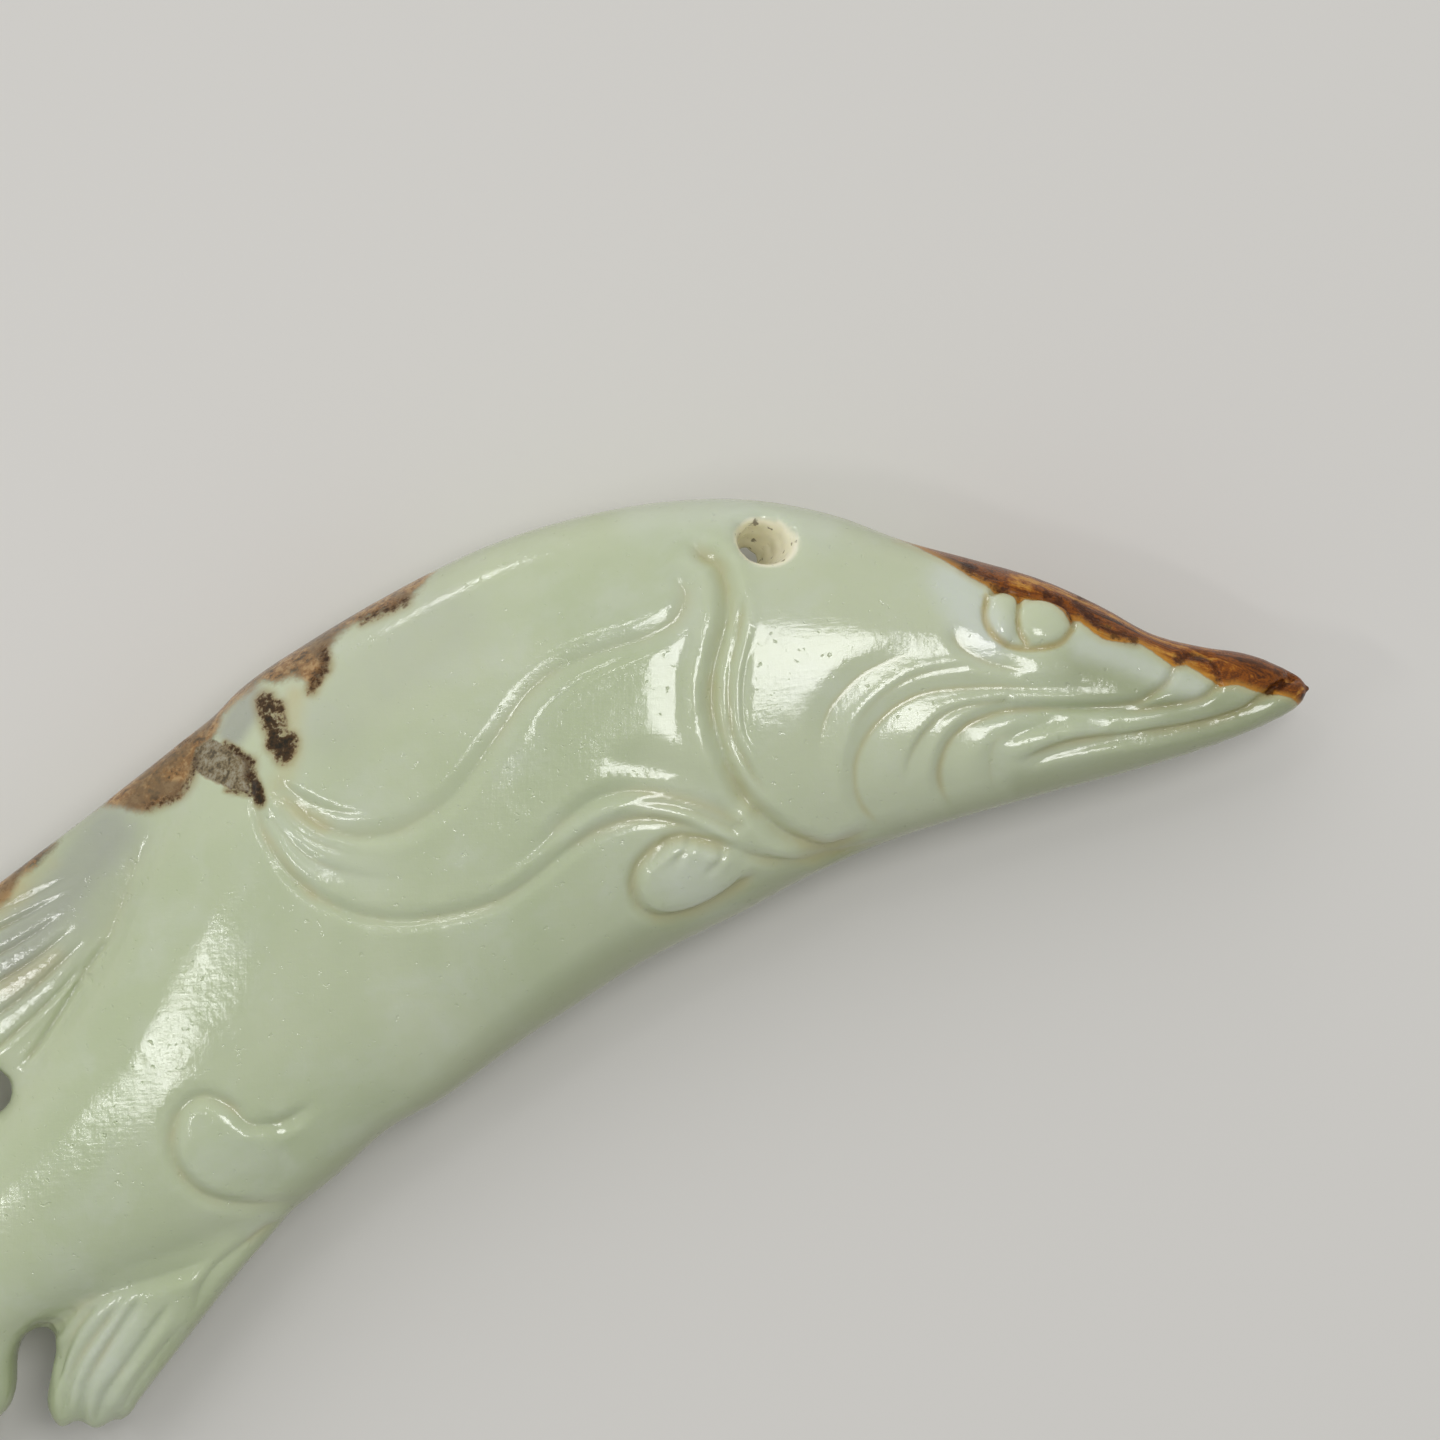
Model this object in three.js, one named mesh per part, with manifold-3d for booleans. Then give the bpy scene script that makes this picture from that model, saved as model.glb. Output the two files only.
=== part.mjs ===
// A jade fish carving, one solid pebble of nephrite, pierced near the back for a hanging cord.
// It lies on its side: snout towards +X, arched back towards +Y, one carved face up and the
// other down on a small ground flat. Both faces carry the same carving.
// The fish is drawn as it is seen from above, in millimetres at its real size, and the finished
// solid is then turned so that it lies along +X. A row of a form holds one crossing of it:
// the point on its first edge, the point on its second edge, and its thickness there as a share.

import * as THREE from 'three';
import { ParametricGeometry } from 'three/addons/geometries/ParametricGeometry.js';
import { mergeVertices } from 'three/addons/utils/BufferGeometryUtils.js';
import Module from 'manifold-3d';

const wasm = await Module();
wasm.setup();

// Driving dimensions, in millimetres and degrees
const fishLength = 112;
const bodyThickness = 13.4;
const finThickness = 5.6;
const tailThickness = 5.4;
const lyingTurn = 29;
const restFlatDepth = 0.9;
const wingRise = 0.4;
const lobeRise = 0.55;
const curlRise = 0.45;
const eyeRise = 0.75;
const lineRadius = 0.75;
const lineDepth = 0.45;
const rayRadius = 0.6;
const rayDepth = 0.32;
const cordHoleMouth = 3.2;
const cordHoleWaist = 1.5;
const piercedHole = 2.8;
const slotHeadWidth = 1.9;
const bodyRoundness = 2.35;
const finRoundness = 3;

// Fineness of the facets
const bodySteps = 40;
const bodySides = 24;
const finSteps = 9;
const finSides = 10;
const cutterSides = 6;
const cutterStep = 2.9;

// The body, from the snout to the root of the tail: back edge x, y, belly edge x, y, thickness share
const bodyRows = [
  [81.9, 47.2, 81.9, 47.2, 0],
  [80.7, 48.0, 81.2, 45.9, 0.17],
  [78.1, 49.1, 78.6, 44.5, 0.31],
  [75.0, 49.6, 74.6, 43.0, 0.42],
  [71.9, 50.4, 70.6, 41.8, 0.51],
  [68.8, 52.1, 66.8, 40.8, 0.6],
  [65.0, 53.8, 63.2, 39.8, 0.69],
  [60.9, 55.0, 59.4, 38.7, 0.78],
  [56.5, 56.2, 56.0, 37.6, 0.86],
  [51.8, 57.9, 52.8, 36.3, 0.92],
  [46.6, 58.8, 49.7, 34.8, 0.96],
  [41.0, 58.6, 46.4, 33.0, 0.99],
  [35.4, 57.5, 42.9, 31.3, 1],
  [30.0, 55.7, 39.5, 29.5, 1],
  [24.6, 53.0, 36.3, 27.4, 1],
  [19.5, 50.0, 33.4, 25.5, 0.99],
  [15.0, 46.9, 30.6, 23.5, 0.97],
  [12.0, 43.2, 27.6, 21.3, 0.94],
  [9.9, 38.8, 24.2, 19.4, 0.91],
  [8.2, 35.0, 21.0, 16.5, 0.87],
  [6.4, 31.0, 17.8, 14.1, 0.83],
  [4.4, 27.2, 14.2, 12.1, 0.78],
  [1.9, 23.7, 10.4, 10.4, 0.72],
  [-0.6, 20.1, 6.4, 8.9, 0.66],
  [-3.6, 17.0, 2.6, 7.0, 0.61],
  [-6.8, 13.8, -0.8, 4.6, 0.56],
  [-9.8, 10.4, -3.8, 1.8, 0.52],
  [-12.6, 6.9, -6.8, -1.0, 0.48],
  [-15.0, 3.4, -9.8, -3.6, 0.42],
  [-15.0, -2.6, -15.0, -2.6, 0],
];

// The fins, from root to end: one edge x, y, the other edge x, y, thickness share
const backFinRows = [
  [15.6, 46.8, 14.0, 39.0, 0.95],
  [12.6, 44.6, 11.2, 34.0, 1],
  [8.8, 41.6, 7.8, 29.2, 1],
  [5.6, 39.1, 5.0, 25.0, 0.98],
  [2.6, 36.8, 2.4, 21.6, 0.92],
  [-0.8, 34.2, -0.6, 17.8, 0.84],
  [-4.6, 31.2, -3.4, 15.0, 0.74],
  [-7.6, 28.6, -6.0, 16.4, 0.6],
  [-9.4, 26.2, -7.4, 18.8, 0.4],
  [-9.9, 24.8, -8.0, 20.0, 0],
];
const bellyFinRows = [
  [6.0, 12.6, 21.0, 18.0, 1],
  [3.8, 7.6, 17.6, 13.6, 1],
  [3.6, 6.0, 14.7, 10.2, 0.95],
  [3.3, 4.4, 12.2, 7.0, 0.86],
  [3.0, 3.0, 10.0, 4.2, 0.74],
  [3.0, 1.8, 8.4, 2.1, 0.56],
  [3.7, 0.8, 7.4, 0.8, 0],
];
const ventFinRows = [
  [-3.4, 6.4, 3.4, 9.6, 0.94],
  [-6.4, 1.4, 1.2, 5.6, 0.92],
  [-7.8, -0.6, 1.1, 3.9, 0.86],
  [-8.8, -2.4, 0.7, 2.3, 0.76],
  [-9.0, -4.0, -0.7, 0.8, 0.6],
  [-7.6, -4.6, -3.0, -1.2, 0],
];
const upperTailRows = [
  [-11.6, 8.6, -8.0, 1.0, 1],
  [-15.6, 4.8, -12.4, -3.0, 0.97],
  [-19.4, 2.6, -16.4, -5.8, 0.88],
  [-23.2, 1.2, -20.4, -7.2, 0.76],
  [-26.8, -0.2, -24.6, -7.6, 0.63],
  [-30.2, -2.2, -28.8, -7.2, 0.46],
  [-32.6, -4.8, -31.8, -6.4, 0],
];
const lowerTailRows = [
  [-11.5, 3.0, -5.6, 0.0, 1],
  [-14.6, -1.8, -7.6, -3.4, 0.97],
  [-16.6, -5.8, -8.2, -7.2, 0.88],
  [-17.6, -9.8, -8.6, -11.2, 0.76],
  [-17.8, -13.8, -9.8, -15.2, 0.63],
  [-17.2, -17.4, -12.2, -18.8, 0.46],
  [-15.8, -20.2, -14.4, -20.6, 0],
];

// Carved lines, each a run of points x, y
const gillLine = [
  [41.8, 55.8], [43.8, 55.4], [45.2, 53.3], [45.1, 50.4], [44.3, 46.8], [44.6, 43.0],
  [46.2, 40.1], [48.8, 38.0], [51.4, 36.9],
];
const wingTopLine = [
  [41.0, 54.0], [42.7, 53.3], [42.8, 51.6], [40.9, 49.8], [35.7, 47.6], [31.3, 43.8],
  [28.0, 39.8], [24.2, 38.0], [20.2, 38.8], [17.5, 41.2], [16.7, 43.6],
];
const wingRootLine = [
  [45.2, 40.2], [44.3, 39.0], [41.8, 38.9], [38.9, 38.6],
];
const wingLowerLine = [
  [38.9, 38.6], [34.1, 35.5], [29.3, 33.2], [23.6, 33.2], [19.2, 35.3], [16.8, 38.4],
  [16.2, 41.6], [16.7, 43.6],
];
const lobeOutline = [
  [40.7, 36.8], [39.8, 34.6], [41.4, 32.7], [44.5, 33.5], [46.6, 35.3], [45.9, 36.8], [43.0, 37.6],
];
const curlLine = [
  [20.1, 22.4], [18.6, 20.4], [16.2, 20.2], [13.8, 21.9], [11.6, 20.6], [11.2, 17.9],
  [13.2, 15.5], [16.4, 14.9],
];
const curlOutline = [
  ...curlLine, [19.0, 15.6], [22.6, 18.4], [22.8, 21.4],
];
const outerCheekFold = [
  [70.7, 47.6], [66.0, 47.1], [59.4, 47.0], [55.4, 45.4], [53.5, 42.4], [54.2, 39.4], [55.4, 38.2],
];
const innerCheekFold = [
  [73.2, 48.5], [71.8, 46.6], [68.9, 45.8], [63.9, 45.4], [60.0, 44.2], [58.6, 41.8], [59.4, 39.9],
];
const mouthLine = [
  [81.6, 48.0], [79.4, 46.9], [75.6, 45.0], [69.4, 43.9], [65.6, 43.0], [63.8, 41.9],
];
const eyeLine = [
  [61.6, 52.9], [61.7, 50.8], [63.4, 49.7], [65.7, 49.6], [67.0, 50.9],
];
const finRays = [
  [[6.6, 8.8], [4.9, 6.0], [3.9, 3.2]],
  [[8.8, 9.6], [6.4, 5.4], [4.8, 1.6]],
  [[11.2, 10.0], [8.6, 5.9], [6.3, 1.6]],
];
const backFinRays = [
  [[7.0, 31.8], [4.0, 26.6], [1.6, 23.8]],
  [[6.0, 30.4], [1.4, 26.6], [-3.6, 23.6], [-8.4, 21.8]],
  [[6.2, 33.6], [0.6, 29.2], [-5.0, 25.8], [-9.6, 24.0]],
  [[6.4, 36.8], [0.6, 32.2], [-4.4, 28.8], [-8.6, 26.8]],
];
const ventFinRays = [
  [[-1.4, 3.4], [-3.0, 0.8], [-4.6, -2.0]],
  [[-4.0, 2.2], [-5.4, -0.6], [-6.6, -3.6]],
];
const tailRays = [
  [[-14.0, 1.6], [-19.0, -1.4], [-24.0, -3.2], [-29.6, -4.8]],
  [[-11.8, -2.2], [-13.0, -7.2], [-13.2, -12.4], [-14.8, -18.2]],
];
const wingOutline = [
  [16.6, 43.2], [17.5, 41.2], [20.2, 38.8], [24.2, 38.0], [28.0, 39.8], [31.3, 43.8],
  [35.7, 47.6], [40.9, 49.8], [42.8, 51.6], [44.0, 50.0], [43.5, 46.6], [43.7, 42.8],
  [45.0, 40.4], [43.0, 38.8], [38.9, 38.6], [34.1, 35.5], [29.3, 33.2], [23.6, 33.2],
  [19.2, 35.3], [16.8, 38.4],
];

// The eye is two swellings side by side: x, y, half width, half height
const eyeSwellings = [
  [65.0, 51.0, 1.75, 1.35],
  [62.4, 51.3, 0.9, 1.35],
];

// The opening pierced between the back fin and the body
const piercedAt = [-0.6, 21.9];

// The rounded head of the slot between the two lower fins
const slotHeadAt = [2.3, 6.0];

// The cord hole: where the drill met the face, and where the two drillings meet halfway
const cordHoleAt = [48.1, 56.2];
const cordHoleMeets = [47.3, 54.9];

// The drawing's scale: it is drawn for a fish of this length
const turn = THREE.MathUtils.degToRad(lyingTurn);
const alongFish = ([x, y]) => x * Math.cos(turn) + y * Math.sin(turn);
const drawnEnds = [...bodyRows, ...upperTailRows, ...lowerTailRows].flatMap((row) => [
  alongFish([row[0], row[1]]), alongFish([row[2], row[3]]),
]);
const drawnLength = Math.max(...drawnEnds) - Math.min(...drawnEnds);
const scale = fishLength / drawnLength;

// A closed geometry becomes a solid once only its merged positions are left
function toSolid(geometry) {
  const bare = geometry.index ? geometry.toNonIndexed() : geometry.clone();
  bare.deleteAttribute('normal');
  bare.deleteAttribute('uv');
  const merged = mergeVertices(bare, 1e-4);
  const corners = merged.index.array;
  const kept = [];
  for (let i = 0; i < corners.length; i += 3) {
    const [a, b, c] = [corners[i], corners[i + 1], corners[i + 2]];
    if (a !== b && b !== c && c !== a) kept.push(a, b, c);
  }
  const build = (triangles) => new wasm.Manifold(new wasm.Mesh({
    numProp: 3,
    vertProperties: Float32Array.from(merged.attributes.position.array),
    triVerts: Uint32Array.from(triangles),
  }));
  const solid = build(kept);
  return solid.volume() > 0 ? solid : build(kept.reverse());
}

function toGeometry(solid) {
  const mesh = solid.getMesh();
  const geometry = new THREE.BufferGeometry();
  geometry.setAttribute('position', new THREE.BufferAttribute(mesh.vertProperties, mesh.numProp));
  geometry.setIndex(new THREE.BufferAttribute(mesh.triVerts, 1));
  geometry.computeVertexNormals();
  return geometry;
}

const join = (solids) => solids.reduce((whole, solid) => whole.add(solid));
const curveThrough = (points) => new THREE.CatmullRomCurve3(points, false, 'centripetal');

// A rounded form between two edges: each crossing is a superellipse from edge to edge
function formBetween(rows, thickness, roundness, steps, sides) {
  const first = curveThrough(rows.map((row) => new THREE.Vector3(row[0], row[1], row[4])));
  const second = curveThrough(rows.map((row) => new THREE.Vector3(row[2], row[3], 0)));
  const rounded = (value) => Math.sign(value) * Math.abs(value) ** (2 / roundness);
  const place = (u, v, target) => {
    const a = first.getPoint(u);
    const b = second.getPoint(u);
    const angle = 2 * Math.PI * (v === 1 ? 0 : v);
    const across = rounded(Math.cos(angle));
    const halfThickness = (thickness / 2) * Math.max(a.z, 0);
    target.set(
      scale * ((a.x + b.x) / 2 + (across * (a.x - b.x)) / 2),
      scale * ((a.y + b.y) / 2 + (across * (a.y - b.y)) / 2),
      halfThickness * rounded(Math.sin(angle)),
    );
  };
  const geometry = new ParametricGeometry(place, steps, sides);
  return closeEnds(geometry, steps, sides);
}

// The root of a fin is open where its first crossing ends inside the body: a fan closes it
function closeEnds(geometry, steps, sides) {
  const position = geometry.attributes.position;
  const corners = Array.from(geometry.index.array);
  const columns = steps + 1;
  const centre = new THREE.Vector3();
  const corner = new THREE.Vector3();
  for (let side = 0; side < sides; side += 1) {
    centre.add(corner.fromBufferAttribute(position, side * columns));
  }
  centre.divideScalar(sides);
  const points = [...position.array, centre.x, centre.y, centre.z];
  for (let side = 0; side < sides; side += 1) {
    corners.push(position.count, side * columns, (side + 1) * columns);
  }
  const closed = new THREE.BufferGeometry();
  closed.setAttribute('position', new THREE.Float32BufferAttribute(points, 3));
  closed.setIndex(corners);
  return closed;
}

const bodyForm = (rise) => toSolid(
  formBetween(bodyRows, bodyThickness + 2 * rise, bodyRoundness, bodySteps, bodySides),
);
const finForm = (rows, thickness) => toSolid(
  formBetween(rows, thickness, finRoundness, finSteps, finSides),
);

// A low raised patch keeps the body's crown: it is a thicker body seen through an outline
function raisedPatch(outline, rise) {
  const loop = new THREE.SplineCurve([...outline, outline[0]].map(
    ([x, y]) => new THREE.Vector2(scale * x, scale * y),
  ));
  const shape = new THREE.Shape(loop.getPoints(2 * outline.length).slice(0, -1));
  const depth = 2 * bodyThickness;
  const prism = new THREE.ExtrudeGeometry(shape, { depth, bevelEnabled: false });
  prism.translate(0, 0, -depth / 2);
  return toSolid(prism).intersect(bodyForm(rise));
}

function eyeSwelling([x, y, halfWidth, halfHeight], heightAt) {
  const ball = new THREE.SphereGeometry(1, 12, 8);
  ball.scale(halfWidth * scale, halfHeight * scale, 2 * eyeRise);
  ball.translate(x * scale, y * scale, heightAt(x, y) - eyeRise);
  const upper = toSolid(ball);
  return upper.add(upper.mirror([0, 0, 1]));
}

// A drop onto the upper face gives the height of the surface that a line is cut in
function surfaceProbe(solid) {
  const skin = new THREE.Mesh(toGeometry(solid));
  const probe = new THREE.Raycaster();
  const down = new THREE.Vector3(0, 0, -1);
  return (x, y) => {
    probe.set(new THREE.Vector3(x * scale, y * scale, 2 * bodyThickness), down);
    const hit = probe.intersectObject(skin)[0];
    return hit ? hit.point.z : 0;
  };
}

// A round cutter led along a line. It comes out of the stone at both ends of the line
function lineCutter(line, radius, depth, heightAt) {
  const flat = new THREE.SplineCurve(line.map(([x, y]) => new THREE.Vector2(x, y)));
  const steps = Math.max(4, Math.round(flat.getLength() / cutterStep));
  const path = flat.getSpacedPoints(steps).map((point, step) => {
    const atEnd = step === 0 || step === steps;
    const lift = atEnd ? radius * 1.1 : radius - depth;
    return new THREE.Vector3(
      point.x * scale, point.y * scale, heightAt(point.x, point.y) + lift,
    );
  });
  const section = new THREE.Shape();
  for (let side = 0; side < cutterSides; side += 1) {
    const angle = (2 * Math.PI * side) / cutterSides;
    section[side ? 'lineTo' : 'moveTo'](radius * Math.cos(angle), radius * Math.sin(angle));
  }
  const cutter = toSolid(new THREE.ExtrudeGeometry(section, {
    steps, extrudePath: curveThrough(path), bevelEnabled: false,
  }));
  return cutter.add(cutter.mirror([0, 0, 1]));
}

// One slanting drilling from a face down to where it meets the one from the other face
function cordHole(heightAt) {
  const meets = new THREE.Vector3(cordHoleMeets[0] * scale, cordHoleMeets[1] * scale, 0);
  const [x, y] = cordHoleAt;
  const mouth = new THREE.Vector3(x * scale, y * scale, heightAt(x, y));
  const along = mouth.clone().sub(meets);
  const depth = along.length();
  const overrun = depth / 2;
  const widening = (cordHoleMouth - cordHoleWaist) / 2 / depth;
  const total = depth + 2 * overrun;
  const drill = new THREE.CylinderGeometry(
    cordHoleMouth / 2 + widening * overrun, cordHoleWaist / 2, total - overrun, 16,
  );
  drill.translate(0, (total - overrun) / 2, 0);
  const turnTo = new THREE.Quaternion().setFromUnitVectors(
    new THREE.Vector3(0, 1, 0), along.normalize(),
  );
  drill.applyQuaternion(turnTo);
  drill.translate(meets.x, meets.y, -cordHoleWaist / 4);
  const upper = toSolid(drill);
  return upper.add(upper.mirror([0, 0, 1]));
}

function straightHole([x, y], width) {
  const drill = new THREE.CylinderGeometry(width / 2, width / 2, 2 * bodyThickness, 16);
  drill.rotateX(Math.PI / 2);
  drill.translate(x * scale, y * scale, 0);
  return toSolid(drill);
}

function plainFish() {
  return join([
    bodyForm(0),
    finForm(backFinRows, finThickness),
    finForm(bellyFinRows, finThickness),
    finForm(ventFinRows, finThickness),
    finForm(upperTailRows, tailThickness),
    finForm(lowerTailRows, tailThickness),
    raisedPatch(wingOutline, wingRise),
    raisedPatch(lobeOutline, lobeRise),
    raisedPatch(curlOutline, curlRise),
  ]);
}

function carvedFish() {
  const plain = plainFish();
  const heightAt = surfaceProbe(plain);
  const withEyes = join([plain, ...eyeSwellings.map((eye) => eyeSwelling(eye, heightAt))]);
  const lines = [
    gillLine, wingTopLine, wingRootLine, wingLowerLine, curlLine,
    outerCheekFold, innerCheekFold, mouthLine, eyeLine,
  ];
  const rays = [
    ...finRays, ...backFinRays, ...ventFinRays, ...tailRays,
  ];
  const cutters = [
    ...lines.map((line) => lineCutter(line, lineRadius, lineDepth, heightAt)),
    ...rays.map((line) => lineCutter(line, rayRadius, rayDepth, heightAt)),
    cordHole(heightAt),
    straightHole(piercedAt, piercedHole),
    straightHole(slotHeadAt, slotHeadWidth),
  ];
  return withEyes.subtract(join(cutters));
}

// The lower face is ground flat a little, so that the fish lies still
function groundFlat(solid) {
  const { min, max } = solid.boundingBox();
  const size = fishLength * 4;
  const keep = new THREE.BoxGeometry(size, size, max[2] - min[2] + bodyThickness);
  keep.translate(0, 0, (max[2] - min[2] + bodyThickness) / 2 + min[2] + restFlatDepth);
  return solid.intersect(toSolid(keep));
}

function lyingFish() {
  const geometry = toGeometry(groundFlat(carvedFish()));
  geometry.rotateZ(-turn);
  geometry.computeBoundingBox();
  const { min, max } = geometry.boundingBox;
  geometry.translate(-(min.x + max.x) / 2, -(min.y + max.y) / 2, -min.z);
  return geometry;
}

const jade = new THREE.MeshStandardMaterial({ color: 0xb9c4a2, roughness: 0.28, metalness: 0 });
const fish = new THREE.Mesh(lyingFish(), jade);
fish.name = 'jade_fish';

const group = new THREE.Group();
group.add(fish);

export default group;
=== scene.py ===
from dataclasses import dataclass, replace
import math

import bmesh
import bpy
import numpy as np
from mathutils import Matrix, Vector


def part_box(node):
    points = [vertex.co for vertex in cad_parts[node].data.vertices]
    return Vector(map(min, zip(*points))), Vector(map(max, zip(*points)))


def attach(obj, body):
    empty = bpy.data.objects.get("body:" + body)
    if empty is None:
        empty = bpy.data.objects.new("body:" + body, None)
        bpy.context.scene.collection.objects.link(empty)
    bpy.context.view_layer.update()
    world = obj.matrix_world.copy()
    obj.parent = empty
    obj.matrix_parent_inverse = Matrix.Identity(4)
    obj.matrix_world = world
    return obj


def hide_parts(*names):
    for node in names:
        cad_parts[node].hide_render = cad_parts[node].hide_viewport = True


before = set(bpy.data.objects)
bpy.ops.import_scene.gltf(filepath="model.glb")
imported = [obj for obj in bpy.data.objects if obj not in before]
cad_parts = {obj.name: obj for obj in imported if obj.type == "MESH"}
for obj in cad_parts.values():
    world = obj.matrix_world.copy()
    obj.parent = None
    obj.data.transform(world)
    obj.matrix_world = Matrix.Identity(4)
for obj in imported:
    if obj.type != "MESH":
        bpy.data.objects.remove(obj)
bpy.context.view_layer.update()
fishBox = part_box("jade_fish")
print("frame loaded", [round(v, 4) for v in fishBox[1] - fishBox[0]])

drawing = {
    "side": 90.0,            # the square that the picture shows
    "carvingUnits": 16.0,    # carved lines are measured across and down it, in sixteenths
    "fishLength": 0.112,     # metres, from the tail to the snout
    "turn": 29.0,            # degrees from the drawing to the length of the fish
    "grindTo": -6.94,        # the lower face is ground to this height, so that it lies still
}

body = {
    # back edge x, y, belly edge x, y, thickness share, from the snout to the tail
    "rows": [
        (81.9, 47.2, 81.9, 47.2, 0.02), (80.7, 48.0, 81.2, 45.9, 0.17), (78.1, 49.1, 78.6, 44.5, 0.31),
        (75.0, 49.6, 74.6, 43.0, 0.42), (71.9, 50.4, 70.6, 41.8, 0.51), (68.8, 52.1, 66.8, 40.8, 0.6),
        (65.0, 53.8, 63.2, 39.8, 0.69), (60.9, 55.0, 59.4, 38.7, 0.78), (56.5, 56.2, 56.0, 37.6, 0.86),
        (51.8, 57.9, 52.8, 36.3, 0.92), (46.6, 58.8, 49.7, 34.8, 0.96), (41.0, 58.6, 46.4, 33.0, 0.99),
        (35.4, 57.5, 42.9, 31.3, 1.0), (30.0, 55.7, 39.5, 29.5, 1.0), (24.6, 53.0, 36.3, 27.4, 1.0),
        (19.5, 50.0, 33.4, 25.5, 0.99), (15.0, 46.9, 30.6, 23.5, 0.97), (12.0, 43.2, 27.6, 21.3, 0.94),
        (9.9, 38.8, 24.2, 19.4, 0.91), (8.2, 35.0, 21.0, 16.5, 0.87), (6.4, 31.0, 17.8, 14.1, 0.83),
        (4.4, 27.2, 14.2, 12.1, 0.78), (1.9, 23.7, 10.4, 10.4, 0.72), (-0.6, 20.1, 6.4, 8.9, 0.66),
        (-3.6, 17.0, 2.6, 7.0, 0.61), (-6.8, 13.8, -0.8, 4.6, 0.56), (-9.8, 10.4, -3.8, 1.8, 0.52),
        (-12.6, 6.9, -6.8, -1.0, 0.48), (-15.0, 3.4, -9.8, -3.6, 0.42), (-15.0, -2.6, -15.0, -2.6, 0.05),
    ],
    "thickness": 15.0, "roundness": 2.35, "rings": 150, "sides": 72,
}

fins = {"rows": {
    "back": [
        (15.6, 46.8, 14.0, 39.0, 0.95), (12.6, 44.6, 11.2, 34.0, 1.0), (8.8, 41.6, 7.8, 29.2, 1.0),
        (5.6, 39.1, 5.0, 25.0, 0.98), (2.6, 36.8, 2.4, 21.6, 0.92), (-0.8, 34.2, -0.6, 17.8, 0.84),
        (-4.6, 31.2, -3.4, 15.0, 0.74), (-7.6, 28.6, -6.0, 16.4, 0.6), (-9.4, 26.2, -7.4, 18.8, 0.4),
        (-9.9, 24.8, -8.0, 20.0, 0.22),
    ],
    "belly": [
        (6.0, 12.6, 21.0, 18.0, 1.0), (3.8, 7.6, 17.6, 13.6, 1.0), (3.6, 6.0, 14.7, 10.2, 0.95),
        (3.3, 4.4, 12.2, 7.0, 0.86), (3.0, 3.0, 10.0, 4.2, 0.74), (3.0, 1.8, 8.4, 2.1, 0.56),
        (3.7, 1.0, 7.4, 1.0, 0.3),
    ],
    "vent": [
        (-3.4, 6.4, 3.4, 9.6, 0.94), (-6.4, 1.4, 1.2, 5.6, 0.92), (-7.8, -0.6, 1.1, 3.9, 0.86),
        (-8.8, -2.4, 0.7, 2.3, 0.76), (-9.0, -4.0, -0.7, 0.8, 0.6), (-7.6, -4.6, -3.0, -1.2, 0.25),
    ],
    "upperTail": [
        (-11.6, 8.6, -8.0, 1.0, 1.0), (-15.6, 4.8, -12.4, -3.0, 0.97), (-19.4, 2.6, -16.4, -5.8, 0.88),
        (-23.2, 1.2, -20.4, -7.2, 0.76), (-26.8, -0.2, -24.6, -7.6, 0.63), (-30.2, -2.2, -28.8, -7.2, 0.46),
        (-32.6, -4.8, -31.8, -6.4, 0.2),
    ],
    "lowerTail": [
        (-11.5, 3.0, -5.6, 0.0, 1.0), (-14.6, -1.8, -7.6, -3.4, 0.97), (-16.6, -5.8, -8.2, -7.2, 0.88),
        (-17.6, -9.8, -8.6, -11.2, 0.76), (-17.8, -13.8, -9.8, -15.2, 0.63), (-17.2, -17.4, -12.2, -18.8, 0.46),
        (-15.8, -20.2, -14.4, -20.6, 0.2),
    ],
}, "thickness": 6.2, "roundness": 3.0, "rings": 40, "sides": 48}
leastShare = 0.02    # of the thickness, so that no ring closes up

holes = {
    "cordMouth": (48.15, 56.6, 5.9),    # where the drill met the upper face; the lower one mirrors it
    "cordMeets": (46.3, 54.7, -0.3),    # where the two drillings meet
    "overshoot": 1.5,                   # how far the drill is drawn out past the face, for a clean cut
    "mouthWidth": 4.0,
    "waistWidth": 1.5,
    "pierced": (-0.6, 21.9, 3.1),         # x, y, width: the hole at the foot of the back fin
    "slotHead": (2.25, 5.95, 2.1),        # the round head of the slot beside the belly fin
    "mouthNotch": (80.95, 47.5, 0.34),    # the gap between the jaws at the snout's end
    "sides": 48,
}

fineness = {
    "voxel": 0.58, "smoothing": 14, "secondSmoothing": 8,
    "pullIn": 0.55, "pushOut": -0.57,     # shares of the way to the middle of the neighbours, by turns
    "nearBand": 1.25, "closeBand": 0.6,   # half widths refined on each side of a line, first and again
    "leastHalf": 0.45, "broadShare": 0.5,
    "facing": 0.05,                       # faces steeper than this to the table aren't refined
    "steps": 3, "leastSteps": 24,         # of a carved line to the drawing millimetre, and in all
    "atOnce": 4000,                       # points measured in one go
}

# the small waves at the end of the belly fin
finEnd = {"left": 2.6, "right": 8.6, "top": 3.0, "bottom": 1.2, "rise": 0.22, "length": 2.3}


def drawnPoints(run):
    # from sixteenths across and down the picture, by turns, to points in millimetres across and up it
    points = np.array(run, float).reshape(-1, 2)
    points[:, 0] /= drawing["carvingUnits"]
    points[:, 1] = drawing["side"] - points[:, 1] / drawing["carvingUnits"]
    return points


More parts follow.
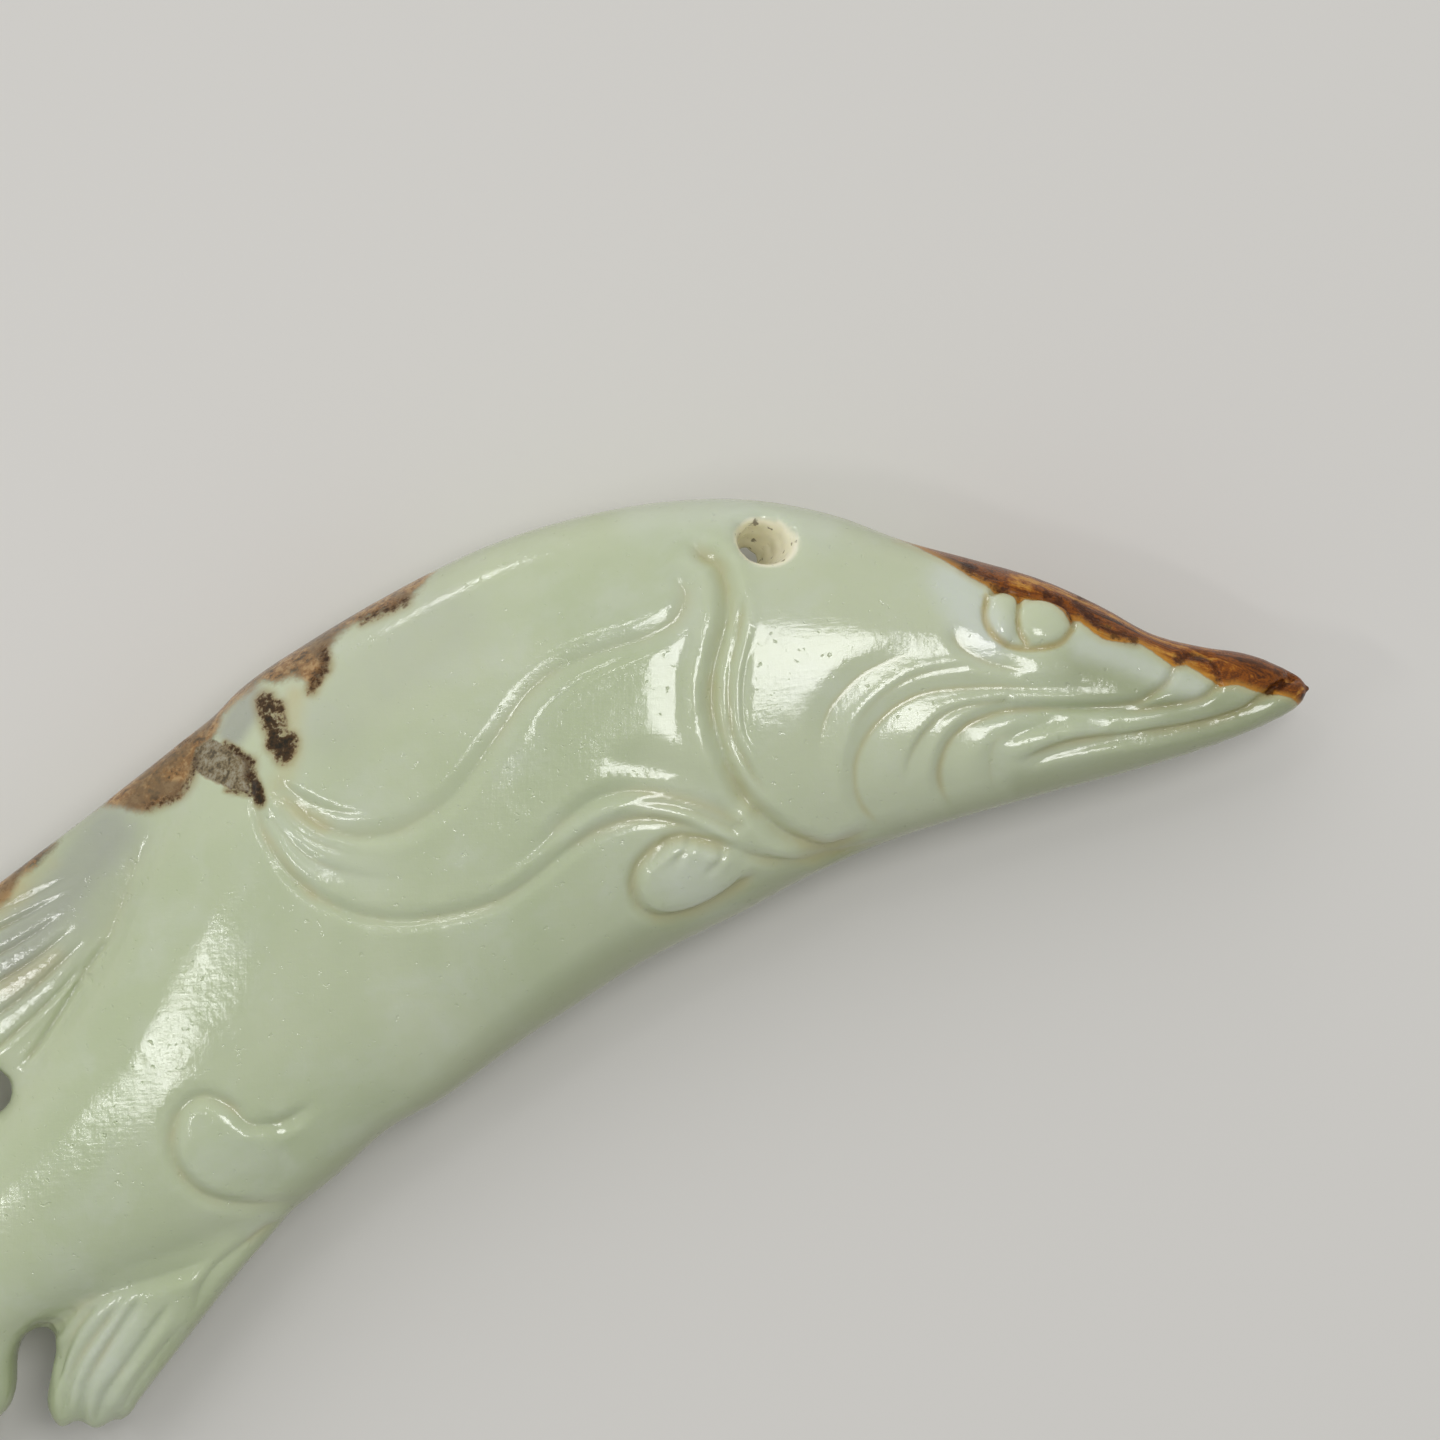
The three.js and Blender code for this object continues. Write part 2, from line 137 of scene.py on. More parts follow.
def smoothRun(points, count):
    # a smooth run through the points, at an even count of steps
    points = np.asarray(points, float)
    padded = np.vstack([2 * points[0] - points[1], points, 2 * points[-1] - points[-2]])
    place = np.linspace(0, len(points) - 1, count)
    start = np.minimum(place.astype(int), len(points) - 2)
    t = (place - start)[:, None]
    a, b, c, d = (padded[start + k] for k in range(4))
    return 0.5 * (2 * b + (c - a) * t + (2 * a - 5 * b + 4 * c - d) * t**2 + (3 * b - a - 3 * c + d) * t**3)


def loftForm(name, rows, values):
    # rings drawn as circles, squared off a little, set along the rows and bridged
    power, depth = 2 / values["roundness"], values["thickness"] / 2
    shape = bmesh.new()
    before = None
    for ax, ay, bx, by, share in smoothRun(rows, values["rings"]):
        ring = bmesh.ops.create_circle(shape, segments=values["sides"], radius=1)["verts"]
        for vert in ring:
            across, up = (math.copysign(abs(v) ** power, v) for v in vert.co[:2])
            vert.co = (
                (ax + bx) / 2 + across * (ax - bx) / 2,
                (ay + by) / 2 + across * (ay - by) / 2,
                up * depth * max(share, leastShare),
            )
        edges = list({edge for vert in ring for edge in vert.link_edges})
        if before:
            bmesh.ops.bridge_loops(shape, edges=before + edges)
        else:
            bmesh.ops.edgeloop_fill(shape, edges=edges)
        before = edges
    bmesh.ops.edgeloop_fill(shape, edges=before)
    bmesh.ops.recalc_face_normals(shape, faces=shape.faces)
    return toObject(name, shape)


def toObject(name, shape):
    mesh = bpy.data.meshes.new(name)
    shape.to_mesh(mesh)
    shape.free()
    return putIn(name, mesh)


def putIn(name, data):
    made = bpy.data.objects.new(name, data)
    bpy.context.collection.objects.link(made)
    return made


def settle(made):
    # the modifiers become the mesh
    graph = bpy.context.evaluated_depsgraph_get()
    mesh = bpy.data.meshes.new_from_object(made.evaluated_get(graph))
    made.modifiers.clear()
    old = made.data
    made.data = mesh
    bpy.data.meshes.remove(old)


def drillCutter(name, low, high, lowWidth, highWidth):
    shape = bmesh.new()
    low, high = Vector(low), Vector(high)
    along = high - low
    turnTo = Vector((0, 0, 1)).rotation_difference(along).to_matrix().to_4x4()
    bmesh.ops.create_cone(
        shape, cap_ends=True, segments=holes["sides"], radius1=lowWidth / 2, radius2=highWidth / 2,
        depth=along.length, matrix=Matrix.Translation((low + high) / 2) @ turnTo,
    )
    return toObject(name, shape)


def cutBy(made, cutters):
    for cutter in cutters:
        cut = made.modifiers.new("cut", "BOOLEAN")
        cut.operation = "DIFFERENCE"
        cut.solver = "EXACT"
        cut.object = cutter
    settle(made)


def makeCutters():
    reach = body["thickness"]
    cutters = []
    mouth, meets = Vector(holes["cordMouth"]), Vector(holes["cordMeets"])
    outer = meets + (mouth - meets) * holes["overshoot"]
    width = holes["waistWidth"] + (holes["mouthWidth"] - holes["waistWidth"]) * holes["overshoot"]
    for flip in (Vector((1, 1, 1)), Vector((1, 1, -1))):
        cutters.append(drillCutter("cordDrill", meets * flip, outer * flip, holes["waistWidth"], width))
    for key in ("pierced", "slotHead", "mouthNotch"):
        x, y, width = holes[key]
        cutters.append(drillCutter(key, (x, y, -reach), (x, y, reach), width, width))
    return cutters


def buildStone():
    made = [loftForm("body", body["rows"], body)]
    made += [loftForm(key, rows, fins) for key, rows in fins["rows"].items()]
    cutters = makeCutters()
    for part in made:
        cutBy(part, cutters)
    for cutter in cutters:
        bpy.data.objects.remove(cutter)
    joined = bmesh.new()
    for part in made:
        joined.from_mesh(part.data)
        bpy.data.objects.remove(part)
    stone = toObject("jade_carving", joined)
    melt = stone.modifiers.new("melt", "REMESH")
    melt.mode = "VOXEL"
    melt.voxel_size = fineness["voxel"]
    settle(stone)
    print("stone melted together", len(stone.data.polygons), "faces")
    return stone


def read(items, key, width=3, kind=float):
    values = np.empty(len(items) * width, kind)
    items.foreach_get(key, values)
    return values.reshape(-1, width)


def writePoints(mesh, points):
    mesh.vertices.foreach_set("co", points.ravel())
    mesh.update()


def relax(mesh, passes):
    # smooths without shrinking: each pass in is followed by a slightly larger pass out
    points = read(mesh.vertices, "co")
    a, b = read(mesh.edges, "vertices", 2, int).T
    count = np.bincount(a, minlength=len(points)) + np.bincount(b, minlength=len(points))
    for step in range(passes):
        pull = fineness["pullIn"] if step % 2 == 0 else fineness["pushOut"]
        middle = np.empty_like(points)
        for axis in range(3):
            values = points[:, axis]
            total = np.bincount(a, values[b], len(points)) + np.bincount(b, values[a], len(points))
            middle[:, axis] = total / np.maximum(count, 1)
        points += pull * (middle - points)
    writePoints(mesh, points)


def waveFinEnd(mesh):
    # small waves cut in the end of the belly fin
    points = read(mesh.vertices, "co")
    x, y = points[:, 0], points[:, 1]
    within = ((x > finEnd["left"]) & (x < finEnd["right"])) * (1 - ramp(finEnd["bottom"], finEnd["top"], y))
    points[:, 1] += within * finEnd["rise"] * np.cos(2 * math.pi * (x - finEnd["left"]) / finEnd["length"])
    writePoints(mesh, points)


def ramp(low, high, value):
    t = np.clip((value - low) / (high - low), 0, 1)
    return t * t * (3 - 2 * t)


def besideLine(points, line, reach):
    # distance from each point to the line, which side of it, and how far along, within reach
    distance, side, share = np.full(len(points), 1e3), np.ones(len(points)), np.zeros(len(points))
    low, high = line.min(0) - reach, line.max(0) + reach
    near = np.flatnonzero(((points > low) & (points < high)).all(1))
    starts, steps = line[:-1], np.diff(line, axis=0)
    lengths = np.maximum((steps**2).sum(1), 1e-9)
    for part in np.array_split(near, max(1, len(near) // fineness["atOnce"])):
        away = points[part][:, None, :] - starts[None]
        t = np.clip((away * steps).sum(2) / lengths, 0, 1)
        off = away - t[..., None] * steps
        gaps = (off**2).sum(2)
        best = gaps.argmin(1)
        rows = np.arange(len(part))
        distance[part] = np.sqrt(gaps[rows, best])
        cross = steps[best, 0] * away[rows, best, 1] - steps[best, 1] * away[rows, best, 0]
        side[part] = np.sign(cross)
        share[part] = (best + t[rows, best]) / len(steps)
    return distance, side, share


@dataclass
class Line:
    # a carved line, in drawing millimetres but for its run
    deep: float
    half: float               # half the width
    fade: tuple               # shares of the run over which it comes in and goes out
    left: float = 0           # height of a bead on that side, seen along the run
    right: float = 0
    broad: tuple = (1, 1)     # how many times wider the left and the right bank are
    both: bool = False        # on the lower face too
    plain: bool = False       # a soft scoop with neither stain nor finer mesh
    run: tuple = ()           # its points, across and down in the drawing's sixteenths

    def path(self):
        run = drawnPoints(self.run)
        length = np.hypot(*np.diff(run, axis=0).T).sum()
        return smoothRun(run, max(fineness["leastSteps"], int(length * fineness["steps"])))


petalNick = Line(0.16, 0.34, (0.2, 0.4), 0.06, 0.06)
bellyRay = Line(0.26, 0.42, (0.15, 0.15), 0.07, 0.07)
backRay = Line(0.26, 0.28, (0.3, 0.15), 0.05, 0.05)
ventRay = Line(0.24, 0.5, (0.25, 0.15), 0.07, 0.07)
tailRay = Line(0.26, 0.6, (0.3, 0.1), 0.08, 0.08, both=True)

carving = {
    "gill": Line(0.6, 0.85, (0.12, 0.14), 0.1, 0.12, both=True, run=[668, 546, 690, 546, 703, 555, 716, 563,
        724, 579, 727, 598, 727, 619, 722, 641, 715, 667, 712, 694, 714, 721, 722, 748, 732, 775, 746, 799, 765, 817,
        786, 834, 807, 844, 829, 850, 848, 843, 866, 832, 889, 831]),
    "gillBevel": Line(0.25, 0.4, (0.4, 0.35), 0.1, broad=(1, 4.6), plain=True, run=[704, 590, 698, 620, 689, 652,
        685, 690, 689, 730, 700, 775]),
    "gillSecond": Line(0.3, 0.42, (0.2, 0.2), 0.1, 0.08, run=[745, 590, 742, 610, 737, 640, 731, 667, 729, 700,
        734, 737, 754, 775, 782, 813]),
    "gillThird": Line(0.14, 0.36, (0.35, 0.35), 0.08, run=[749, 640, 744, 672, 742, 700, 745, 734, 752, 756]),
    "throat": Line(0.34, 0.6, (0.25, 0.2), 0.06, both=True, run=[727, 842, 744, 851, 762, 858, 788, 861, 820, 859,
        853, 854, 874, 847, 900, 839]),
    "foldOuter": Line(0.24, 0.35, (0.5, 0.3), broad=(4.8, 3.4), run=[985, 656, 960, 655, 916, 654, 887, 662,
        862, 674, 843, 691, 828, 710, 821, 732, 819, 761, 820, 790]),
    "foldOuterLine": Line(0.17, 0.35, (0.45, 0.3), 0, 0.04, broad=(3.4, 1), run=[1032, 667, 985, 666, 945, 669,
        912, 677, 888, 691, 868, 708, 852, 731, 845, 760]),
    "foldMiddle": Line(0.32, 0.35, (0.3, 0.12), 0, 0.03, broad=(4.8, 2.4), both=True, run=[1134, 676, 1095, 685,
        1047, 688, 998, 687, 962, 688, 925, 693, 901, 703, 882, 717, 865, 737, 855, 761, 854, 785, 860, 805,
        872, 819, 889, 831]),
    "foldMiddleLine": Line(0.22, 0.35, (0.15, 0.35), 0, 0.04, broad=(3.4, 1), run=[1010, 700, 998, 702, 959, 708,
        935, 720, 916, 742, 906, 766, 908, 790]),
    "foldInner": Line(0.48, 0.35, (0.2, 0.2), 0, 0.03, broad=(3.8, 1.8), both=True, run=[1156, 698, 1119, 708,
        1083, 710, 1047, 710, 1010, 711, 986, 717, 964, 727, 947, 744, 939, 766, 939, 785, 947, 802, 962, 812]),
    "foldLast": Line(0.16, 0.35, (0.3, 0.3), 0.04, broad=(3, 2), run=[1030, 730, 1010, 735, 993, 742, 988, 766,
        991, 785, 998, 800]),
    "lipFold": Line(0.36, 0.45, (0.12, 0.4), 0, 0.05, both=True, run=[1173, 664, 1165, 681, 1148, 695, 1129, 704,
        1085, 708, 1037, 708, 1000, 708]),
    "lipFoldLower": Line(0.34, 0.42, (0.12, 0.35), 0, 0.05, run=[1218, 683, 1211, 690, 1195, 700, 1158, 707,
        1122, 712, 1085, 716]),
    "nostril": Line(0.22, 0.38, (0.2, 0.2), run=[1173, 666, 1177, 659, 1187, 655, 1198, 654, 1207, 657, 1214, 668,
        1218, 683]),
    "mouth": Line(0.6, 0.5, (0.0, 0.25), broad=(1.4, 1), both=True, run=[1294, 673, 1284, 680, 1267, 693, 1255, 702,
        1240, 712, 1207, 723, 1170, 730, 1134, 735, 1097, 739, 1061, 745, 1037, 753, 1024, 760, 1018, 768]),
    "lowerLip": Line(0.12, 0.4, (0.3, 0.3), 0, 0.1, run=[1160, 739, 1119, 743, 1080, 750, 1045, 759, 1020, 770]),
    "eyeRound": Line(0.34, 0.34, (0.02, 0.02), both=True, run=[986, 595, 982, 618, 991, 637, 1008, 647, 1032, 649,
        1056, 644, 1068, 632, 1072, 620, 1067, 610, 1056, 604, 1037, 597, 1013, 593, 998, 590, 986, 595]),
    "eyeSplit": Line(0.32, 0.24, (0.05, 0.1), both=True, run=[1019, 596, 1016, 608, 1014, 622, 1018, 636,
        1025, 647]),
    "eyeHollow": Line(0.24, 0.4, (0.2, 0.3), broad=(2.8, 1.5), both=True, run=[944, 622, 954, 642, 968, 655,
        988, 664, 1014, 670, 1036, 670]),
    "wingTop": Line(0.22, 0.9, (0.1, 0.1), 0.05, 0.05, both=True, run=[662, 576, 678, 584, 686, 599, 676, 621,
        647, 639, 607, 651, 561, 670, 531, 694, 512, 720, 493, 747, 472, 777, 451, 800, 419, 821, 394, 832, 367, 835,
        341, 830, 320, 821, 304, 808, 287, 794, 276, 780]),
    "wingTopScoop": Line(0.24, 0.35, (0.4, 0.3), broad=(1.0, 4.6), plain=True, run=[430, 816, 400, 832, 367, 836,
        341, 830, 320, 821, 304, 808, 290, 796]),
    "wingTopLine": Line(0.07, 0.4, (0.3, 0.3), 0.05, run=[650, 652, 620, 662, 585, 680, 552, 704, 530, 732]),
    "wingRoot": Line(0.26, 0.75, (0.06, 0.3), 0.08, 0.08, both=True, run=[750, 829, 734, 820, 720, 812, 695, 802,
        668, 795, 640, 790, 622, 790, 600, 796, 584, 806, 564, 822, 548, 840, 530, 858, 508, 876]),
    "wingRootLine": Line(0.2, 0.42, (0.1, 0.35), 0.06, 0.08, run=[742, 834, 720, 822, 695, 811, 668, 804, 640, 803,
        618, 808]),
    "wingEdge": Line(0.28, 0.7, (0.12, 0.06), 0, 0.08, both=True, run=[724, 838, 700, 829, 684, 824, 653, 817,
        625, 820, 595, 832, 564, 853, 534, 878, 500, 899, 454, 912, 411, 917, 373, 914, 345, 905, 320, 893, 299, 876,
        283, 857, 272, 838, 264, 821, 261, 806, 262, 790, 270, 778]),
    "wingHollow": Line(0.22, 0.32, (0.15, 0.5), broad=(1.6, 3.0), run=[270, 800, 279, 818, 292, 836, 312, 853,
        338, 866, 368, 874, 402, 876, 436, 868]),
    "wingHollowInner": Line(0.2, 0.32, (0.15, 0.5), broad=(1.4, 2.6), run=[278, 800, 296, 822, 318, 838, 345, 848,
        380, 854, 412, 852]),
    "wingHollowUpper": Line(0.18, 0.32, (0.2, 0.5), broad=(1.4, 2.6), run=[282, 778, 304, 793, 330, 806, 362, 813,
        392, 812]),
    "rootScoop": Line(0.28, 0.35, (0.25, 0.1), broad=(4.0, 3.6), plain=True, run=[600, 766, 640, 766, 676, 775,
        712, 792, 748, 814]),
    "mouthBulge": Line(0.26, 0.35, (0.3, 0.3), broad=(2.0, 2.2), plain=True, run=[998, 744, 1020, 734, 1045, 726,
        1075, 720]),
    "petal": Line(0.42, 0.6, (0.1, 0.1), 0.12, both=True, run=[744, 852, 729, 847, 712, 841, 690, 836, 677, 836,
        662, 842, 647, 854, 637, 868, 634, 886, 639, 903, 651, 914, 668, 917, 690, 912, 712, 902, 733, 890, 749, 879,
        764, 868]),
    "petalNicks": replace(petalNick, run=[668, 836, 664, 848, 656, 858, 650, 870]),
    "petalNickMiddle": replace(petalNick, run=[692, 834, 688, 845, 678, 856, 672, 868]),
    "petalNickLast": replace(petalNick, deep=0.14, run=[722, 845, 720, 856, 710, 866, 702, 874]),
    "curl": Line(0.34, 0.65, (0.18, 0.15), 0.12, 0.04, both=True, run=[319, 1091, 312, 1102, 302, 1110, 290, 1117,
        278, 1120, 255, 1118, 236, 1101, 214, 1091, 196, 1096, 184, 1110, 178, 1130, 179, 1150, 188, 1170, 206, 1188,
        230, 1198, 255, 1202, 287, 1200, 312, 1194]),
    "keel": Line(0.26, 0.55, (0.2, 0.3), 0.06, run=[290, 1214, 270, 1226, 252, 1239, 225, 1259, 207, 1280, 200, 1301,
        193, 1318]),
    "bellyFinRoot": Line(0.26, 0.75, (0.1, 0.2), 0, 0.1, both=True, run=[26, 1328, 57, 1323, 87, 1301, 119, 1287,
        154, 1276, 188, 1265, 229, 1248]),
    "bellyRayA": replace(bellyRay, fade=(0.15, 0.25), run=[100, 1300, 82, 1322, 66, 1352, 60, 1390]),
    "bellyRayB": replace(bellyRay, deep=0.28, both=True, run=[131, 1288, 108, 1320, 84, 1352, 70, 1384, 66, 1420]),
    "bellyRayC": replace(bellyRay, deep=0.28, both=True, run=[150, 1284, 128, 1318, 104, 1354, 88, 1386, 82, 1430]),
    "bellyRayD": replace(bellyRay, run=[176, 1296, 152, 1330, 126, 1366, 106, 1396, 97, 1428]),
    "bellyRayE": replace(bellyRay, deep=0.16, fade=(0.3, 0.15), left=0.05, right=0.05, run=[190, 1316, 166, 1346,
        140, 1380, 118, 1420]),
    "backFinRoot": Line(0.2, 1.0, (0.2, 0.2), both=True, run=[153, 826, 140, 862, 129, 892, 106, 947, 80, 990,
        52, 1028, 24, 1066]),
    "backRayA": replace(backRay, fade=(0.25, 0.15), both=True, run=[118, 930, 96, 958, 70, 1000, 44, 1040,
        24, 1066]),
    "backRayB": replace(backRay, run=[100, 946, 70, 982, 36, 1016, -4, 1050, -40, 1076]),
    "backRayC": replace(backRay, both=True, run=[96, 930, 60, 966, 20, 1000, -30, 1034, -80, 1060]),
    "backRayD": replace(backRay, run=[84, 920, 46, 952, 0, 982, -54, 1010, -104, 1034]),
    "backRayE": replace(backRay, both=True, run=[70, 910, 30, 938, -14, 962, -70, 988, -126, 1010]),
    "backRayF": replace(backRay, fade=(0.4, 0.15), run=[76, 888, 30, 914, -20, 938, -80, 962, -140, 992]),
    "backRayG": replace(backRay, deep=0.14, half=0.42, fade=(0.4, 0.2), run=[100, 862, 50, 888, -6, 914, -66, 938,
        -120, 966]),
    "ventRayA": replace(ventRay, both=True, run=[-8, 1352, -22, 1384, -40, 1416, -56, 1446]),
    "ventRayB": replace(ventRay, both=True, run=[-36, 1374, -52, 1404, -72, 1438, -92, 1470]),
    "ventRayC": replace(ventRay, run=[-64, 1396, -84, 1426, -106, 1458, -124, 1488]),
    "tailRayA": replace(tailRay, run=[-220, 1404, -300, 1426, -390, 1438, -500, 1490]),
    "tailRayB": replace(tailRay, run=[-214, 1436, -296, 1476, -390, 1500, -500, 1520]),
    "tailRayC": replace(tailRay, run=[-150, 1470, -184, 1550, -192, 1640, -232, 1750]),
    "tailRayD": replace(tailRay, run=[-196, 1456, -236, 1548, -240, 1640, -250, 1750]),
}

swellings = {    # x, y, half width, half height in sixteenths, rise, turn in degrees
    "eyeFront": (1043, 624, 29, 24, 0.5, -12),
    "eyeRear": (1000, 620, 16, 28, 0.42, -6),
    "petalCrown": (692, 876, 52, 34, 0.42, 24),
    "curlCrown": (236, 1148, 52, 46, 0.28, 0),
    "snoutSide": (1150, 690, 74, 16, 0.12, -6),
    "mouthCorner": (1040, 740, 44, 13, 0.2, 16),
    "wingTip": (300, 842, 52, 30, 0.12, -35),
}
crownCurve = 0.75    # between a dome at 0.5 and a bell at 1

# the stained stretches, whose mesh is made finer too: line and half width in drawing millimetres
stainedRuns = [
    ([905, 545, 1000, 578, 1100, 622, 1200, 668, 1300, 692], 2.4),
    ([744, 536, 798, 534], 2.3),
    ([425, 582, 360, 615, 300, 672, 262, 724, 238, 765, 150, 802, 120, 806], 2.4),
]


bank = {    # across a carved line, in half widths but for the last four
    "reach": 3, "end": 1.15, "beadAt": 1.35, "beadWidth": 0.5, "stainEnd": 1.3,
    "narrowCurve": 1.5, "broadCurve": 1.1,    # how hollow the bank is
    "fullStain": 0.4,       # a line this deep holds all of its stain
    "lowerShare": 0.85,     # how deep the lines are on the lower face
    "turnOver": 0.35,       # the lines die out where the normal leans this near to level
    "leastReach": 2.0,      # drawing millimetres
}


def refineNear(mesh, band, lowerToo):
    # splits the faces that lie along a carved line, so that its banks come out crisp
    centres, normals = read(mesh.polygons, "center"), read(mesh.polygons, "normal")
    chosen = np.zeros(len(centres), bool)
    for run, half in stainedRuns if lowerToo else []:
        distance, _, _ = besideLine(centres[:, :2], drawnPoints(run), half)
        chosen |= distance < half
    for line in carving.values():
        if line.plain:
            continue
        up = np.abs(normals[:, 2]) if lowerToo and line.both else normals[:, 2]
        reach = band * max(line.half * max(1, fineness["broadShare"] * max(line.broad)), fineness["leastHalf"])
        distance, _, _ = besideLine(centres[:, :2], line.path(), reach)
        chosen |= (up > fineness["facing"]) & (distance < reach)
    shape = bmesh.new()
    shape.from_mesh(mesh)
    shape.faces.ensure_lookup_table()
    edges = {edge for index in np.flatnonzero(chosen) for edge in shape.faces[index].edges}
    bmesh.ops.subdivide_edges(shape, edges=list(edges), cuts=1, use_grid_fill=True)
    shape.to_mesh(mesh)
    shape.free()
    mesh.update()
    print("refined", int(chosen.sum()), "faces, now", len(mesh.polygons))


def carve(mesh):
    # raises the swellings and sinks the lines along the normals; gives back how stained each point is by them
    points, normals = read(mesh.vertices, "co"), read(mesh.vertices, "normal")
    flat = points[:, :2]
    upper = ramp(0.0, bank["turnOver"], normals[:, 2])
    lower = ramp(0.0, bank["turnOver"], -normals[:, 2])
    move = np.zeros(len(points))
    recess = np.zeros(len(points))
    for x, y, halfWidth, halfHeight, rise, turned in swellings.values():
        centre = drawnPoints((x, y))[0]
        turn = math.radians(turned)
        away = (flat - centre) * drawing["carvingUnits"]
        across = (away[:, 0] * math.cos(turn) + away[:, 1] * math.sin(turn)) / halfWidth
        down = (-away[:, 0] * math.sin(turn) + away[:, 1] * math.cos(turn)) / halfHeight
        crown = np.clip(1 - across**2 - down**2, 0, 1) ** crownCurve
        move += rise * crown * (upper + lower)
    for line in carving.values():
        reach = max(bank["reach"] * line.half * max(line.broad), bank["leastReach"])
        distance, side, share = besideLine(flat, line.path(), reach)
        fadeIn, fadeOut = line.fade
        weight = ramp(-0.001, fadeIn + 1e-4, share) * ramp(-0.001, fadeOut + 1e-4, 1 - share)
        faces = upper + bank["lowerShare"] * lower if line.both else upper
        widened = np.where(side > 0, *line.broad)
        away = distance / (line.half * widened)
        curve = np.where(widened > 1, bank["broadCurve"], bank["narrowCurve"])
        groove = np.clip(1 - away / bank["end"], 0, 1) ** curve
        bead = np.exp(-(((away - bank["beadAt"]) / bank["beadWidth"]) ** 2))
        raised = np.where(side > 0, line.left, line.right)
        move += weight * faces * (raised * bead - line.deep * groove)
        stain = np.clip(1 - distance / line.half / bank["stainEnd"], 0, 1) * min(1, line.deep / bank["fullStain"])
        if not line.plain:
            recess = np.maximum(recess, weight * faces * stain)
    points += normals * move[:, None]
    points[:, 2] = np.maximum(points[:, 2], drawing["grindTo"])
    writePoints(mesh, points)
    return recess


# where the pebble's skin and stains show, as closed outlines in the drawing's sixteenths
patches = {
    "skin": [[896, 540, 916, 548, 936, 558, 953, 568, 968, 578, 988, 589, 998, 594, 1010, 596, 1015, 604, 1022, 600,
        1037, 602, 1049, 607, 1060, 617, 1067, 627, 1072, 619, 1078, 623, 1089, 632, 1100, 640, 1117, 643, 1136, 644,
        1148, 651, 1159, 659, 1170, 667, 1182, 665, 1193, 671, 1207, 680, 1218, 687, 1233, 685, 1245, 689, 1265, 695,
        1276, 697, 1292, 703, 1300, 706, 1345, 690, 1300, 640, 1180, 590, 1060, 545, 960, 510]],
    "rind": [
        [452, 540, 426, 586, 407, 606, 395, 613, 372, 620, 356, 626, 340, 639, 333, 650, 335, 671, 325, 685,
        315, 694, 308, 682, 295, 679, 279, 686, 264, 683, 243, 698, 226, 716, 219, 740, 204, 752, 198, 768, 190, 784,
        185, 797, 166, 805, 150, 813, 137, 812, 124, 806, 104, 806, 92, 812, 70, 800, 200, 640, 380, 540],
        [66, 830, 58, 852, 40, 872, 22, 878, 12, 900, -30, 922, -60, 900, 20, 830],
    ],
    "crust": [[216, 738, 233, 749, 254, 757, 257, 771, 255, 792, 236, 788, 222, 782, 204, 774, 196, 764, 199, 748]],
}

